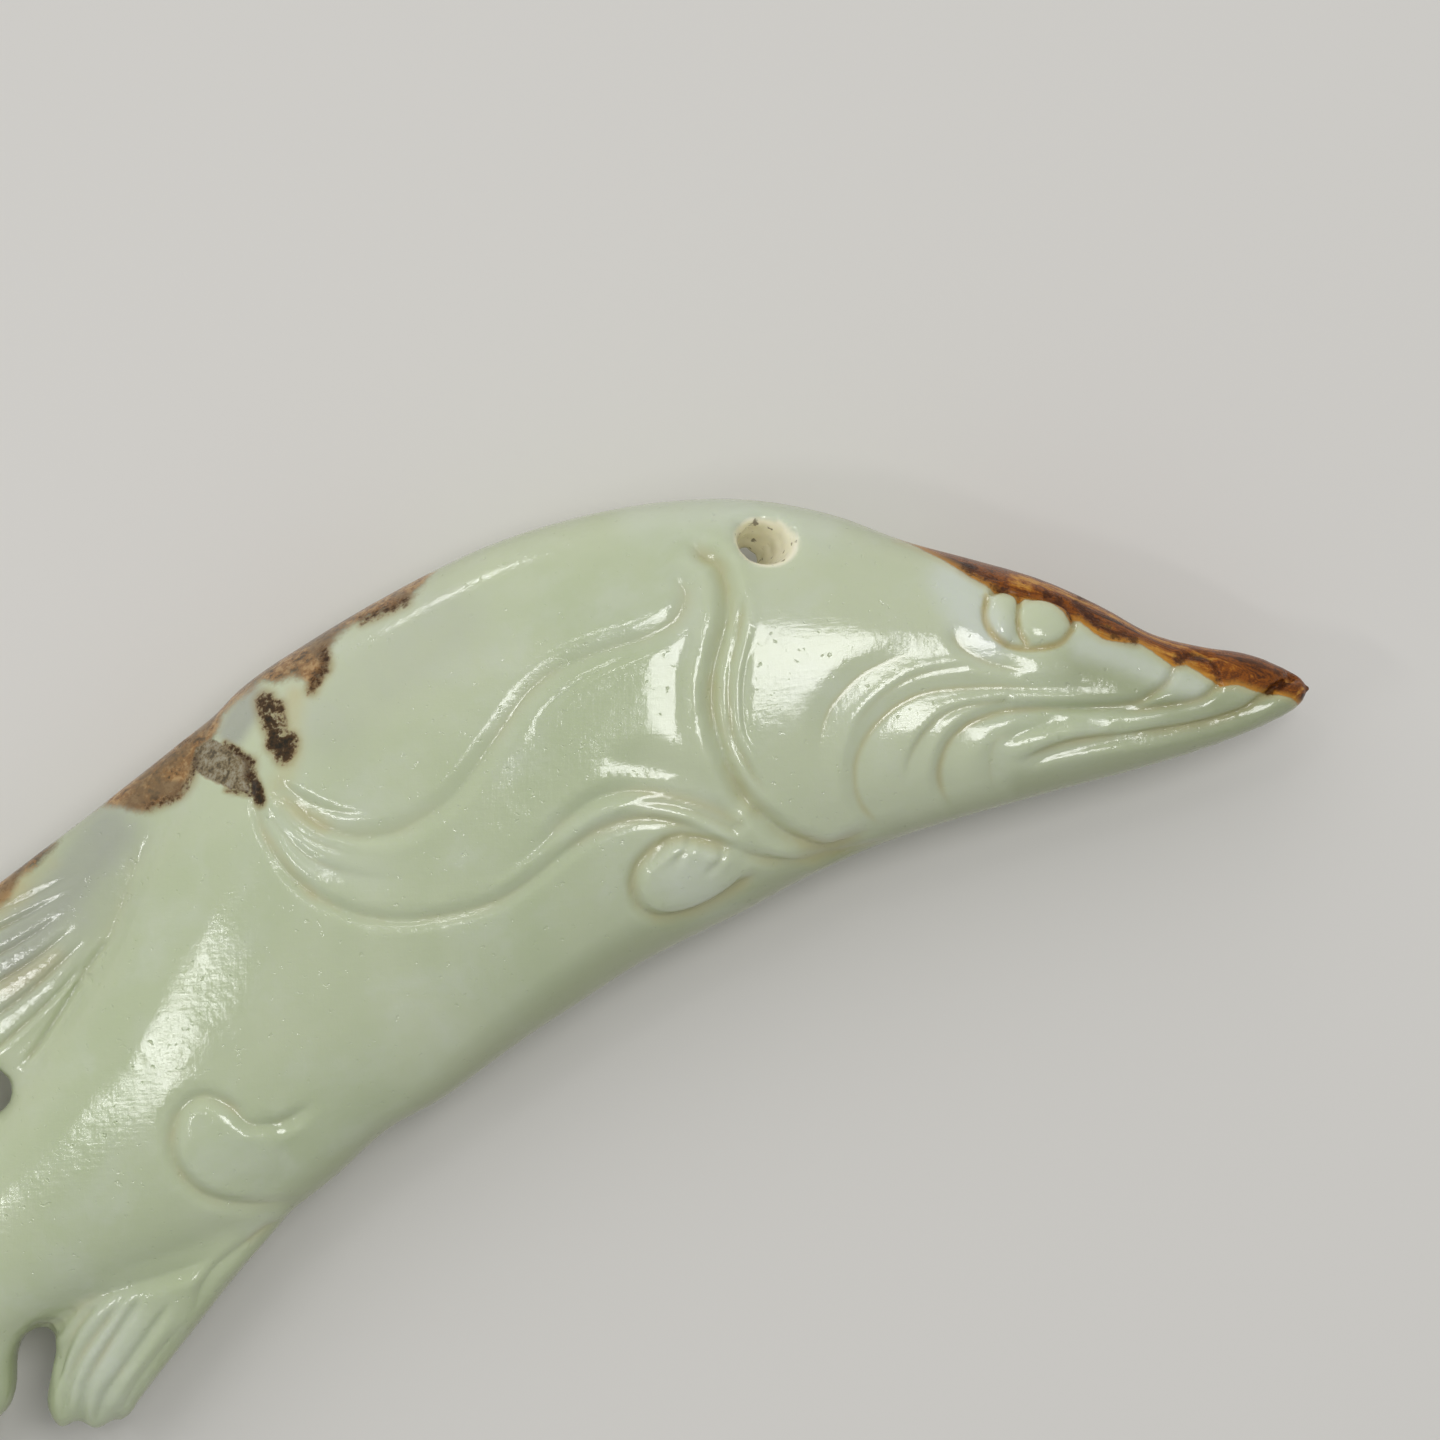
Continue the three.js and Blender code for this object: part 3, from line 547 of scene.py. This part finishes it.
# and as strokes: line, half width, strength
staining = {
    "dark": [
        ([408, 602, 384, 613, 364, 621], 8, 0.62),
        ([326, 652, 330, 666, 322, 676, 316, 690], 8, 0.66),
        ([270, 702, 276, 722, 286, 745], 12, 0.86),
        ([281, 744, 294, 742, 289, 754], 11, 0.95),
        ([284, 706, 286, 722, 288, 736], 8, 0.7),
        ([230, 744, 244, 752, 254, 760], 5, 0.75),
        ([256, 762, 255, 776], 8, 0.7),
        ([232, 789, 254, 793], 4, 0.7),
        ([257, 776, 262, 788, 266, 800], 7, 0.95),
        ([199, 756, 197, 772, 188, 789, 171, 800, 153, 806], 8, 0.56),
        ([180, 742, 190, 738], 7, 0.55),
        ([964, 568, 990, 582, 1003, 590], 8, 0.6),
        ([1044, 594, 1060, 604, 1068, 620], 6, 0.64),
        ([1074, 604, 1088, 618, 1108, 632, 1132, 640], 8, 0.66),
        ([1176, 660, 1190, 656, 1206, 660], 9, 0.62),
        ([1210, 664, 1216, 678], 6, 0.6),
        ([1268, 692, 1286, 682], 6, 0.8),
    ],
    "chalk": [
        ([110, 830, 80, 870, 40, 920, 10, 960], 40, 0.75),
        ([100, 880, 60, 940, 10, 990, -60, 1010], 40, 0.5),
        ([256, 700, 246, 716, 236, 732], 15, 1.0),
        ([340, 720, 390, 670, 450, 620], 60, 0.4),
    ],
    "milk": [
        ([330, 650, 400, 628, 480, 600], 34, 0.2),
        ([310, 760, 340, 700, 400, 660], 44, 0.2),
        ([950, 585, 962, 605, 985, 636], 24, 0.9),
        ([1080, 646, 1130, 664, 1190, 688], 16, 0.6),
        ([640, 520, 720, 512, 820, 530], 30, 0.5),
        ([692, 876, 700, 880], 40, 0.5),
        ([286, 828, 336, 858, 380, 872], 36, 0.32),
        ([126, 1320, 96, 1384], 44, 0.5),
    ],
    "halo": [
        ([300, 696, 296, 722, 298, 752, 284, 784], 14, 0.5),
        ([320, 688, 330, 668], 12, 0.45),
        ([262, 806, 268, 826, 284, 850, 310, 884, 345, 906], 7, 0.4),
        ([984, 597, 982, 618, 991, 637, 1008, 647, 1032, 649, 1056, 644, 1069, 630], 4, 0.8),
        ([1019, 598, 1015, 612, 1016, 630, 1024, 645], 4, 0.8),
        ([276, 790, 300, 808, 326, 822], 12, 0.45),
        ([50, 862, 30, 880, -20, 910], 20, 0.55),
        ([60, 955, 30, 975, -20, 1000], 15, 0.45),
    ],
    # painted shade: darker strokes along the snout's side, under the mouth and along the belly edge, where the light
    # falls off
    "dusk": [
        ([1080, 668, 1140, 688, 1200, 704, 1260, 712], 26, 0.9),
        ([1020, 790, 1100, 770, 1180, 748, 1260, 722, 1300, 704], 16, 0.9),
        ([900, 838, 960, 812, 1020, 794], 14, 0.6),
        ([430, 1110, 520, 1030, 620, 956, 720, 905, 820, 868, 900, 838], 18, 0.8),
        ([300, 1195, 360, 1150, 430, 1110], 14, 0.5),
    ],
}


edgeWear = {    # heights in the drawing between which the stains change below the turn of the edge
    "wander": (-0.5, 2.5),
    "wanderBy": (0.8, 0.6),        # drawing millimetres along and across, at the most
    "waves": ((0.7, 1.7, 0.5), (0.5, 3.1, -0.7)),    # size, steps by height, by x and then by y
    "strokes": (-2.5, 0.5),
    "rind": (-6.4, -3.4),
}
softness = {
    "outline": 0.9,      # drawing millimetres over which an outline's field goes from one half to nothing
    "strokeFull": 1.2,   # a stroke's field: its height at the line, and its slope in half widths
    "strokeSlope": 1.4,
    "strokeReach": 2.2,
    "boreWall": (0.02, 0.3),
    "boreMouth": (0.94, 1.04),
}


def insideOutline(flat, outline, soft):
    # 1 well inside the outline, 0 well outside, and a half on the line
    ring = drawnPoints(outline + outline[:2])
    distance, _, _ = besideLine(flat, ring, soft)
    crossings = np.zeros(len(flat), int)
    for (x1, y1), (x2, y2) in zip(ring[:-1], ring[1:]):
        level = (flat[:, 1] > min(y1, y2)) & (flat[:, 1] <= max(y1, y2))
        crossings += level & (flat[:, 0] < x1 + (flat[:, 1] - y1) * (x2 - x1) / ((y2 - y1) or 1e-9))
    away = np.minimum(distance / soft, 1)
    return 0.5 + 0.5 * np.where(crossings % 2 == 1, away, -away)


def stainFields(mesh):
    points = read(mesh.vertices, "co")
    height = points[:, 2]
    # below the turn of the edge the stains wander along the fish and thin out towards the lower face
    wander = 0
    for axis, (size, byHeight, across) in enumerate(edgeWear["waves"]):
        wander = wander + size * np.sin(height * byHeight + points[:, axis] * across)
    below = 1 - ramp(*edgeWear["wander"], height)
    flat = points[:, :2] + below[:, None] * wander[:, None] * edgeWear["wanderBy"]
    fields = {}
    for key, outlines in patches.items():
        each = [insideOutline(flat, outline, softness["outline"]) for outline in outlines]
        fields[key] = np.max(each, axis=0)
    for key, marks in staining.items():
        field = np.zeros(len(flat))
        for run, half, strength in marks:
            half = half / drawing["carvingUnits"]
            line = drawnPoints(run)
            if len(line) > 2:
                line = smoothRun(line, fineness["leastSteps"])
            distance, _, _ = besideLine(flat, line, softness["strokeReach"] * half)
            fall = softness["strokeFull"] - distance / (softness["strokeSlope"] * half)
            field = np.maximum(field, strength * np.clip(fall, 0, 1))
        fields[key] = field * ramp(*edgeWear["strokes"], height)
    fields["rind"] = fields["rind"] * ramp(*edgeWear["rind"], height + wander)
    fields["crust"] = fields["crust"] * ramp(*edgeWear["strokes"], height)
    # where the cord hole's wall takes its pale tone with painted light
    fields["bore"] = boreWall(points)
    return fields


def boreWall(points):
    # the drilled wall of the cord hole, seen from either face
    meets = np.array([*holes["cordMeets"][:2], 0.0])
    along = np.array(holes["cordMouth"]) - meets
    folded = points * (1, 1, 0) + np.abs(points) * (0, 0, 1) - meets
    t = (folded @ along) / (along @ along)
    away = np.linalg.norm(folded - t[:, None] * along, axis=1)
    radius = (holes["waistWidth"] + (holes["mouthWidth"] - holes["waistWidth"]) * t) / 2
    return (1 - ramp(*softness["boreWall"], away - radius)) * (1 - ramp(*softness["boreMouth"], t))


def writeField(mesh, name, values):
    field = mesh.attributes.new(name, "FLOAT", "POINT")
    field.data.foreach_set("value", values.astype(np.float32))


def layDown(mesh):
    # from the drawing to metres, turned along +X and set in the frame's box
    turned = Matrix.Rotation(-math.radians(drawing["turn"]), 4, "Z")
    mesh.transform(turned)
    points = read(mesh.vertices, "co")
    low, high = points.min(0), points.max(0)
    scale = drawing["fishLength"] / (high[0] - low[0])
    middle = (fishBox[0] + fishBox[1]) / 2
    shift = Vector((
        middle.x - scale * (low[0] + high[0]) / 2,
        middle.y - scale * (low[1] + high[1]) / 2,
        fishBox[0].z - scale * low[2],
    ))
    place = Matrix.Translation(shift) @ Matrix.Scale(scale, 4)
    mesh.transform(place)
    return place @ turned


class Wire:
    # a socket that can be written in sums: each operator adds its Math node
    def __init__(self, nodes, socket):
        self.nodes = nodes
        self.socket = socket

    def join(self, operation, first, second):
        return self.nodes.add("ShaderNodeMath", {"operation": operation}, {0: first, 1: second})

    def __add__(self, other):
        return self.join("ADD", self, other)

    def __sub__(self, other):
        return self.join("SUBTRACT", self, other)

    def __rsub__(self, other):
        return self.join("SUBTRACT", other, self)

    def __mul__(self, other):
        return self.join("MULTIPLY", self, other)

    __radd__ = __add__
    __rmul__ = __mul__


class Nodes:
    def __init__(self, name):
        self.material = bpy.data.materials.new(name)
        self.material.use_nodes = True
        self.tree = self.material.node_tree
        self.shader = self.tree.nodes["Principled BSDF"]

    def add(self, kind, settings, inputs, output=0):
        node = self.tree.nodes.new(kind)
        for key, value in settings.items():
            if key == "stops":
                self.setStops(node.color_ramp, value)
            else:
                setattr(node, key, value)
        for key, value in inputs.items():
            self.feed(node.inputs[key], value)
        return Wire(self, node.outputs[output])

    def setStops(self, colours, stops):
        while len(colours.elements) < len(stops):
            colours.elements.new(1)
        for element, (place, colour) in zip(colours.elements, stops):
            element.position = place
            element.color = (*colour, 1)

    def feed(self, socket, value):
        if isinstance(value, Wire):
            self.tree.links.new(value.socket, socket)
        elif hasattr(value, "__len__") and len(value) == 3 and len(socket.default_value) == 4:
            socket.default_value = (*value, 1)
        else:
            socket.default_value = value

    def place(self, stretch=(1, 1, 1), turn=0.0):
        # the grain runs at this turn, and is cut finer by the stretch along and across it
        coordinates = self.add("ShaderNodeTexCoord", {}, {}, "Object")
        angle, scale = (0, 0, math.radians(turn)), [1 / v for v in stretch]
        inputs = {"Vector": coordinates, "Rotation": angle, "Scale": scale}
        return self.add("ShaderNodeMapping", {"vector_type": "TEXTURE"}, inputs)

    def noise(self, scale, detail=3.0, roughness=0.5, warp=0.0, where=None):
        inputs = {"Scale": scale, "Detail": detail, "Roughness": roughness, "Distortion": warp}
        return self.add("ShaderNodeTexNoise", {}, {**inputs, "Vector": where or self.place()})

    def field(self, name):
        return self.add("ShaderNodeAttribute", {"attribute_name": name}, {}, "Fac")

    def between(self, value, low, high):
        ends = {"Value": value, "From Min": low, "From Max": high}
        return self.add("ShaderNodeMapRange", {"interpolation_type": "SMOOTHSTEP"}, ends)

    def mix(self, share, first, second):
        return self.add("ShaderNodeMix", {"data_type": "RGBA"}, {0: share, 6: first, 7: second}, 2)

    def colours(self, value, stops):
        return self.add("ShaderNodeValToRGB", {"stops": stops}, {"Fac": value})

    def bump(self, height, distance, strength=1.0, over=None):
        inputs = {"Height": height, "Distance": distance, "Strength": strength}
        if over:
            inputs["Normal"] = over
        return self.add("ShaderNodeBump", {}, inputs)


def tint(text):
    # a screen colour as the shader's linear one
    values = (int(text[k:k + 2], 16) / 255 for k in (0, 2, 4))
    return tuple(v / 12.92 if v <= 0.04045 else ((v + 0.055) / 1.055) ** 2.4 for v in values)


tones = {key: tint(value) for key, value in {
    # painted shade: the edge tone and the tone after it darken the turned edges and the strokes where the light
    # falls off
    "pale": "c6cdae", "green": "b9c39f", "milky": "d0d6c9", "edge": "98a073", "dusk": "9aa17c",
    # the hole wall's tone is the pale drilled stone, made lighter still as painted light against the shade in the
    # hole
    "groove": "b9ae74", "chalk": "a2a498", "bore": "f8f2d8", "glow": "c2b074", "skinDark": "321405",
    "skinBrown": "5a2a04", "skinOrange": "8e4c07", "skinAmber": "c48a32", "rindDark": "482e18",
    "rindTan": "8e6437", "rindPale": "ae8a5c", "rindGrey": "6a543c", "darkCore": "0a0603",
    "darkBrown": "4a3014", "darkHalo": "9a8858", "crustDark": "4a3b2a", "crust": "7a684a",
    "crustPale": "98907c",
}.items()}
jade = {
    # how much of each colour shows at the most; the rim is amber along the skin's border
    "thinEdgeShadeShare": 0.75, "paintedShadeShare": 0.75, "litBoreShare": 0.85, "rimShare": 0.75,
    "blotchShare": 0.7, "mottleShare": 0.3, "gritShare": 0.8,
    "roughness": 0.13, "roughnessSpread": 0.1,
    "stainRoughness": 0.14, "darkRoughness": 0.2,    # added where the stains and the dark marks are
    "index": 1.6, "stainIndex": 1.36, "translucence": 0.26,
    "depth": 0.0014, "depthOf": (1.0, 1.1, 0.7),    # metres that light travels in the stone, shares by colour
}

noises = {    # steps to the metre, detail, roughness, warp
    "cloud": (45, 4, 0.55, 0.6), "mottle": (210, 4, 0.6, 0.4), "grain": (2000, 3, 0.6), "speck": (5600, 3, 0.65),
    "blotch": (330, 4, 0.6, 0.8), "grit": (1700, 2, 0.5), "polish": (420, 4, 0.6), "pits": (2300, 2, 0.5),
    "uneven": (300, 3, 0.5),
}
drawnOut = {    # the same, then steps to the metre along, across and up, and the turn of the first in degrees
    "streak": ((1.0, 5, 0.62, 1.4), (90, 620, 500), -49), "scratches": ((1.0, 3, 0.6, 0.2), (700, 4200, 2200), -24),
    "crossing": ((1.0, 3, 0.6, 0.2), (600, 4400, 2200), 60),
}

layers = [    # over the stone, from below: field, how far the mottle breaks it up, from and to, share, colour
    ("milk", 0.3, 0.2, 1.1, 0.85, "milky"),
    ("chalk", 0.3, 0.25, 1.05, 0.8, "chalk"),
    ("recess", 0, 0.1, 0.95, 0.5, "groove"),
    ("halo", 0.8, 0.5, 1.4, 0.7, "glow"),
    ("skin", 0, 0.2, 0.5, 0.35, "glow"),
    ("dark", 0, 0, 0.7, 0.7, "darkHalo"),
]
borders = {    # the values between which each noise or stain comes in
    "cloud": (0.34, 0.66), "mottle": (0.45, 0.75), "patchy": (0.7, 1.2), "rind": (0.36, 0.74),
    "blotch": (0.42, 0.6), "skin": (0.46, 0.54), "inSkin": (0.5, 0.78), "crust": (0.44, 0.54), "dark": (0.34, 0.7),
    "darkCore": (0.5, 1.15), "grit": (0.62, 0.7), "pits": (0.66, 0.8),
}
ragged = {    # how far the noises break up the stains' edges, and how far the skin thins the dark marks
    "grain": 1.5, "speck": 1.0, "rind": 0.2, "rindMottle": 0.5, "skin": 0.05, "crust": 0.12, "dark": 1.2,
    "darkLevel": 0.9, "darkInSkin": 0.2,
}
stainColours = {    # shares of the noises, and the colours at the values of their sum
    "rind": ({"grain": 0.5, "mottle": 0.3, "speck": 0.2}, [
        (0.42, "rindDark"), (0.47, "rindTan"), (0.5, "rindTan"), (0.55, "rindPale")]),
    "skin": ({"streak": 0.75, "grain": 0.15, "speck": 0.1}, [
        (0.39, "skinDark"), (0.44, "skinBrown"), (0.49, "skinOrange"),
        (0.525, "skinBrown"), (0.57, "skinOrange"), (0.63, "skinAmber")]),
    "crust": ({"grain": 0.6, "speck": 0.4}, [(0.4, "crustDark"), (0.47, "crust"), (0.58, "crustPale")]),
}
covers = {"rind": 0.93, "skin": 0.98, "crust": 0.93, "dark": 0.96}    # how far each stain hides the stone
relief = {    # heights in the bump, then depth in metres and strength of the bump and of the uneven face under it
    "scratches": 0.2, "crossing": 0.14, "grain": 0.32, "pits": -0.9, "streak": -2.2, "dark": -1.5, "crust": -1.5,
    "fine": (0.00006, 0.6), "uneven": (0.00012, 0.4),
}


def stoneTone(nodes, noise):
    cloud, mottle = noise["cloud"], noise["mottle"]
    base = nodes.mix(nodes.between(cloud, *borders["cloud"]), tones["green"], tones["pale"])
    base = nodes.mix(nodes.between(mottle, *borders["mottle"]) * jade["mottleShare"], base, tones["milky"])
    # painted shade on the turned and thin edges, most on the belly side
    base = nodes.mix(nodes.field("thin") * jade["thinEdgeShadeShare"], base, tones["edge"])
    # painted shade from the shaded strokes
    base = nodes.mix(nodes.field("dusk") * jade["paintedShadeShare"], base, tones["dusk"])
    patchy = nodes.between(mottle + cloud, *borders["patchy"])
    for name, broken, low, high, share, colour in layers:
        value = nodes.field(name)
        value = value * patchy if name == "recess" else value + mottle * broken
        base = nodes.mix(nodes.between(value, low, high) * share, base, tones[colour])
    grit = nodes.between(noise["grit"], *borders["grit"]) * jade["gritShare"]
    # the cord hole's wall: its pale drilled colour, made lighter still as painted light against the shade in the
    # hole, with dark grit
    bore = nodes.mix(grit, tones["bore"], tones["darkBrown"])
    return nodes.mix(nodes.field("bore") * jade["litBoreShare"], base, bore)


def stainColour(nodes, noise, key):
    shares, stops = stainColours[key]
    value = sum(noise[name] * share for name, share in shares.items())
    return nodes.colours(value, [(place, tones[name]) for place, name in stops])


def stainTones(nodes, noise):
    # where each stain lies, and the colour of them all
    frayed = sum((noise[key] - 0.5) * ragged[key] for key in ("grain", "speck"))
    rindField = nodes.field("rind") + frayed * ragged["rind"] + (noise["mottle"] - 0.5) * ragged["rindMottle"]
    skinField = nodes.field("skin") + frayed * ragged["skin"]
    crustField = nodes.field("crust") + frayed * ragged["crust"]
    darkField = nodes.field("dark") * (frayed * ragged["dark"] + ragged["darkLevel"])
    skin = nodes.between(skinField, *borders["skin"])
    masks = {
        "rind": nodes.between(rindField, *borders["rind"]),
        "skin": skin,
        "crust": nodes.between(crustField, *borders["crust"]),
        "dark": nodes.between(darkField, *borders["dark"]) * (1 - skin * ragged["darkInSkin"]),
    }
    blotch = nodes.between(noise["blotch"], *borders["blotch"]) * jade["blotchShare"]
    tone = nodes.mix(blotch, stainColour(nodes, noise, "rind"), tones["rindGrey"])
    rim = (1 - nodes.between(skinField, *borders["inSkin"])) * jade["rimShare"]
    tone = nodes.mix(skin, tone, nodes.mix(rim, stainColour(nodes, noise, "skin"), tones["skinAmber"]))
    tone = nodes.mix(masks["crust"], tone, stainColour(nodes, noise, "crust"))
    darkTone = nodes.mix(nodes.between(darkField, *borders["darkCore"]), tones["darkBrown"], tones["darkCore"])
    return masks, nodes.mix(masks["dark"], tone, nodes.mix(skin, darkTone, tones["skinDark"]))


def stoneNormal(nodes, noise, masks):
    height = noise["scratches"] * relief["scratches"] + noise["crossing"] * relief["crossing"]
    height += noise["grain"] * relief["grain"] + nodes.between(noise["pits"], *borders["pits"]) * relief["pits"]
    height += masks["skin"] * noise["streak"] * relief["streak"] + masks["dark"] * relief["dark"]
    height += masks["crust"] * noise["speck"] * relief["crust"]
    return nodes.bump(height, *relief["fine"], nodes.bump(noise["uneven"], *relief["uneven"]))


def jadeMaterial():
    nodes = Nodes("pale_jade")
    shader = nodes.shader
    noise = {key: nodes.noise(*values) for key, values in noises.items()}
    for key, (values, stretch, turn) in drawnOut.items():
        noise[key] = nodes.noise(*values, nodes.place(stretch, turn))
    masks, stainTone = stainTones(nodes, noise)
    bare = 1
    for key, share in covers.items():
        bare = bare * (1 - masks[key] * share)
    rough = jade["roughness"] + (noise["polish"] - 0.5) * jade["roughnessSpread"]
    normal = stoneNormal(nodes, noise, masks)
    stained = nodes.add("ShaderNodeBsdfPrincipled", {}, {
        "Base Color": stainTone, "Roughness": rough + jade["stainRoughness"] + masks["dark"] * jade["darkRoughness"],
        "Normal": normal, "IOR": jade["stainIndex"],
    })
    for key, value in {
        "Base Color": stoneTone(nodes, noise), "Roughness": rough, "Normal": normal, "IOR": jade["index"],
        "Subsurface Weight": jade["translucence"], "Subsurface Radius": jade["depthOf"],
        "Subsurface Scale": jade["depth"],
    }.items():
        nodes.feed(shader.inputs[key], value)
    stone = Wire(nodes, shader.outputs[0])
    whole = nodes.add("ShaderNodeMixShader", {}, {0: 1 - bare, 1: stone, 2: stained})
    nodes.feed(nodes.tree.nodes["Material Output"].inputs["Surface"], whole)
    return nodes.material


# painted shade on the edges that turn away from the top, most on the belly side, and on the thin parts of the stone
thinEdgeShading = {
    "turned": (0.2, 0.9), "slim": (1.2, 4.0),    # from level, and half thicknesses in drawing millimetres
    "bellyWay": (0.4, -0.9),
    "turnedShare": 0.7, "slimShare": 0.3, "bellyShare": 0.75,
}


def paintThinEdgeShade(mesh):
    # painted shade: darker where the surface turns from level, most on the belly side, and where the stone is thin
    points, normals = read(mesh.vertices, "co"), read(mesh.vertices, "normal")
    turned = ramp(*thinEdgeShading["turned"], 1 - np.abs(normals[:, 2]))
    belly = np.clip(normals[:, :2] @ thinEdgeShading["bellyWay"], 0, 1)
    slim = 1 - ramp(*thinEdgeShading["slim"], np.abs(points[:, 2]))
    shadedEdge = turned * (1 - thinEdgeShading["bellyShare"] + thinEdgeShading["bellyShare"] * belly)
    return np.clip(thinEdgeShading["turnedShare"] * shadedEdge + thinEdgeShading["slimShare"] * slim, 0, 1)


def buildFish():
    stone = buildStone()
    mesh = stone.data
    relax(mesh, fineness["smoothing"])
    refineNear(mesh, fineness["nearBand"], True)
    refineNear(mesh, fineness["closeBand"], False)
    relax(mesh, fineness["secondSmoothing"])
    waveFinEnd(mesh)
    # painted shade on the turned and thin edges
    thin = paintThinEdgeShade(mesh)
    fields = stainFields(mesh)
    fields["recess"] = carve(mesh)
    fields["thin"] = thin
    shape = bmesh.new()
    shape.from_mesh(mesh)
    bmesh.ops.recalc_face_normals(shape, faces=shape.faces)
    shape.to_mesh(mesh)
    shape.free()
    for name, values in fields.items():
        writeField(mesh, name, values)
    place = layDown(mesh)
    mesh.shade_smooth()
    mesh.materials.clear()
    mesh.materials.append(jadeMaterial())
    mesh.calc_loop_triangles()
    print("fish carved", len(mesh.loop_triangles), "triangles")
    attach(stone, "root")
    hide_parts("jade_fish")
    return stone, place


stone, place = buildFish()

table = {"size": 3.0, "colour": tint("dcd9d3"), "roughness": 0.6}


def buildTable():
    shape = bmesh.new()
    bmesh.ops.create_grid(shape, x_segments=1, y_segments=1, size=table["size"] / 2)
    made = toObject("table_top", shape)
    nodes = Nodes("pale_table")
    nodes.feed(nodes.shader.inputs["Base Color"], table["colour"])
    nodes.feed(nodes.shader.inputs["Roughness"], table["roughness"])
    made.data.materials.append(nodes.material)


buildTable()

camera = {
    "distance": 0.42,
    "sensor": 36.0,
    "heightOfView": 0.0062,     # the outline of the fish lies at about this height
}


def facing(spot, wide, way):
    # stands at the spot and looks against the way
    return Matrix.Translation(spot) @ Matrix((wide, way.cross(wide), way)).transposed().to_4x4()


def placeCamera():
    side = drawing["side"]
    corner, across, up = (place @ Vector((x, y, 0)) for x, y in ((0, 0), (side, 0), (0, side)))
    middle = (across + up) / 2
    data = bpy.data.cameras.new("camera")
    data.sensor_width = camera["sensor"]
    data.lens = camera["sensor"] * camera["distance"] / (across - corner).length
    right = (across - corner).normalized()
    spot = Vector((middle.x, middle.y, camera["heightOfView"] + camera["distance"]))
    bpy.context.scene.camera = putIn("camera", data)
    bpy.context.scene.camera.matrix_world = facing(spot, right, Vector((0, 0, 1)))
    return middle, right, (up - corner).normalized()


middle, right, ahead = placeCamera()

lights = {
    # softboxes: where on the drawing their glint falls, how far off they stand, size, turn in degrees, power
    "glints": {
        "cheekBox": ((824, 656), 0.55, (0.17, 0.19), 0, 0.8),
        "bodyBox": ((172, 1042), 0.12, (0.044, 0.008), -40, 0.0145),
        "tipBox": ((322, 832), 0.3, (0.028, 0.022), 0, 0.0155),
        "edgeStrip": ((474, 569), 0.5, (0.1, 0.025), 22, 0.09),
    },
    # others: tilt from straight above towards the picture's right and top in degrees, distance, size, power
    "others": {
        "wash": (-35, 48, 1.2, (1.5, 1.5), 6.4),
    },
    "air": 0.36,
    "airColour": (0.95, 0.97, 1.0),
    "around": 0.0008, "leastFacing": 0.1,    # metres around a mark where the slope is taken, from upper faces
    "lowest": 0.06,                          # no lamp stands under the table
}


def addLight(name, spot, way, distance, size, turn, power):
    data = bpy.data.lights.new(name, "AREA")
    data.shape = "RECTANGLE"
    data.size, data.size_y = size
    data.energy = power
    made = putIn(name, data)
    wide = (right - right.dot(way) * way).normalized()
    made.matrix_world = facing(spot + way * distance, wide, way) @ Matrix.Rotation(math.radians(turn), 4, "Z")
    made.visible_camera = False
    return made


def glintWay(points, normals, mark):
    # the surface at the mark, and the direction that it mirrors the camera in
    x, y = drawnPoints(mark)[0]
    spot = place @ Vector((x, y, 0))
    near = np.hypot(points[:, 0] - spot.x, points[:, 1] - spot.y) < lights["around"]
    near &= normals[:, 2] > lights["leastFacing"]
    spot = Vector(points[near].mean(0))
    normal = Vector(normals[near].mean(0)).normalized()
    look = (bpy.context.scene.camera.matrix_world.translation - spot).normalized()
    way = 2 * normal.dot(look) * normal - look
    way.z = max(way.z, lights["lowest"])
    return spot, way.normalized()


def placeLights():
    points, normals = (read(stone.data.vertices, key) for key in ("co", "normal"))
    for name, (mark, distance, size, turn, power) in lights["glints"].items():
        spot, way = glintWay(points, normals, mark)
        addLight(name, spot, way, distance, size, turn, power)
    for name, (toRight, toTop, distance, size, power) in lights["others"].items():
        slant = right * math.tan(math.radians(toRight)) + ahead * math.tan(math.radians(toTop))
        way = Vector((0, 0, 1)) + slant
        lamp = addLight(name, Vector((middle.x, middle.y, 0)), way.normalized(), distance, size, 0, power)
        lamp.visible_glossy = False    # fills without a glint of its own
    world = bpy.data.worlds.new("air")
    world.use_nodes = True
    sky = world.node_tree.nodes["Background"].inputs
    sky["Strength"].default_value = lights["air"]
    sky["Color"].default_value = (*lights["airColour"], 1)
    bpy.context.scene.world = world
    bpy.context.scene.view_settings.view_transform = "Standard"


placeLights()
print("camera and lights placed")
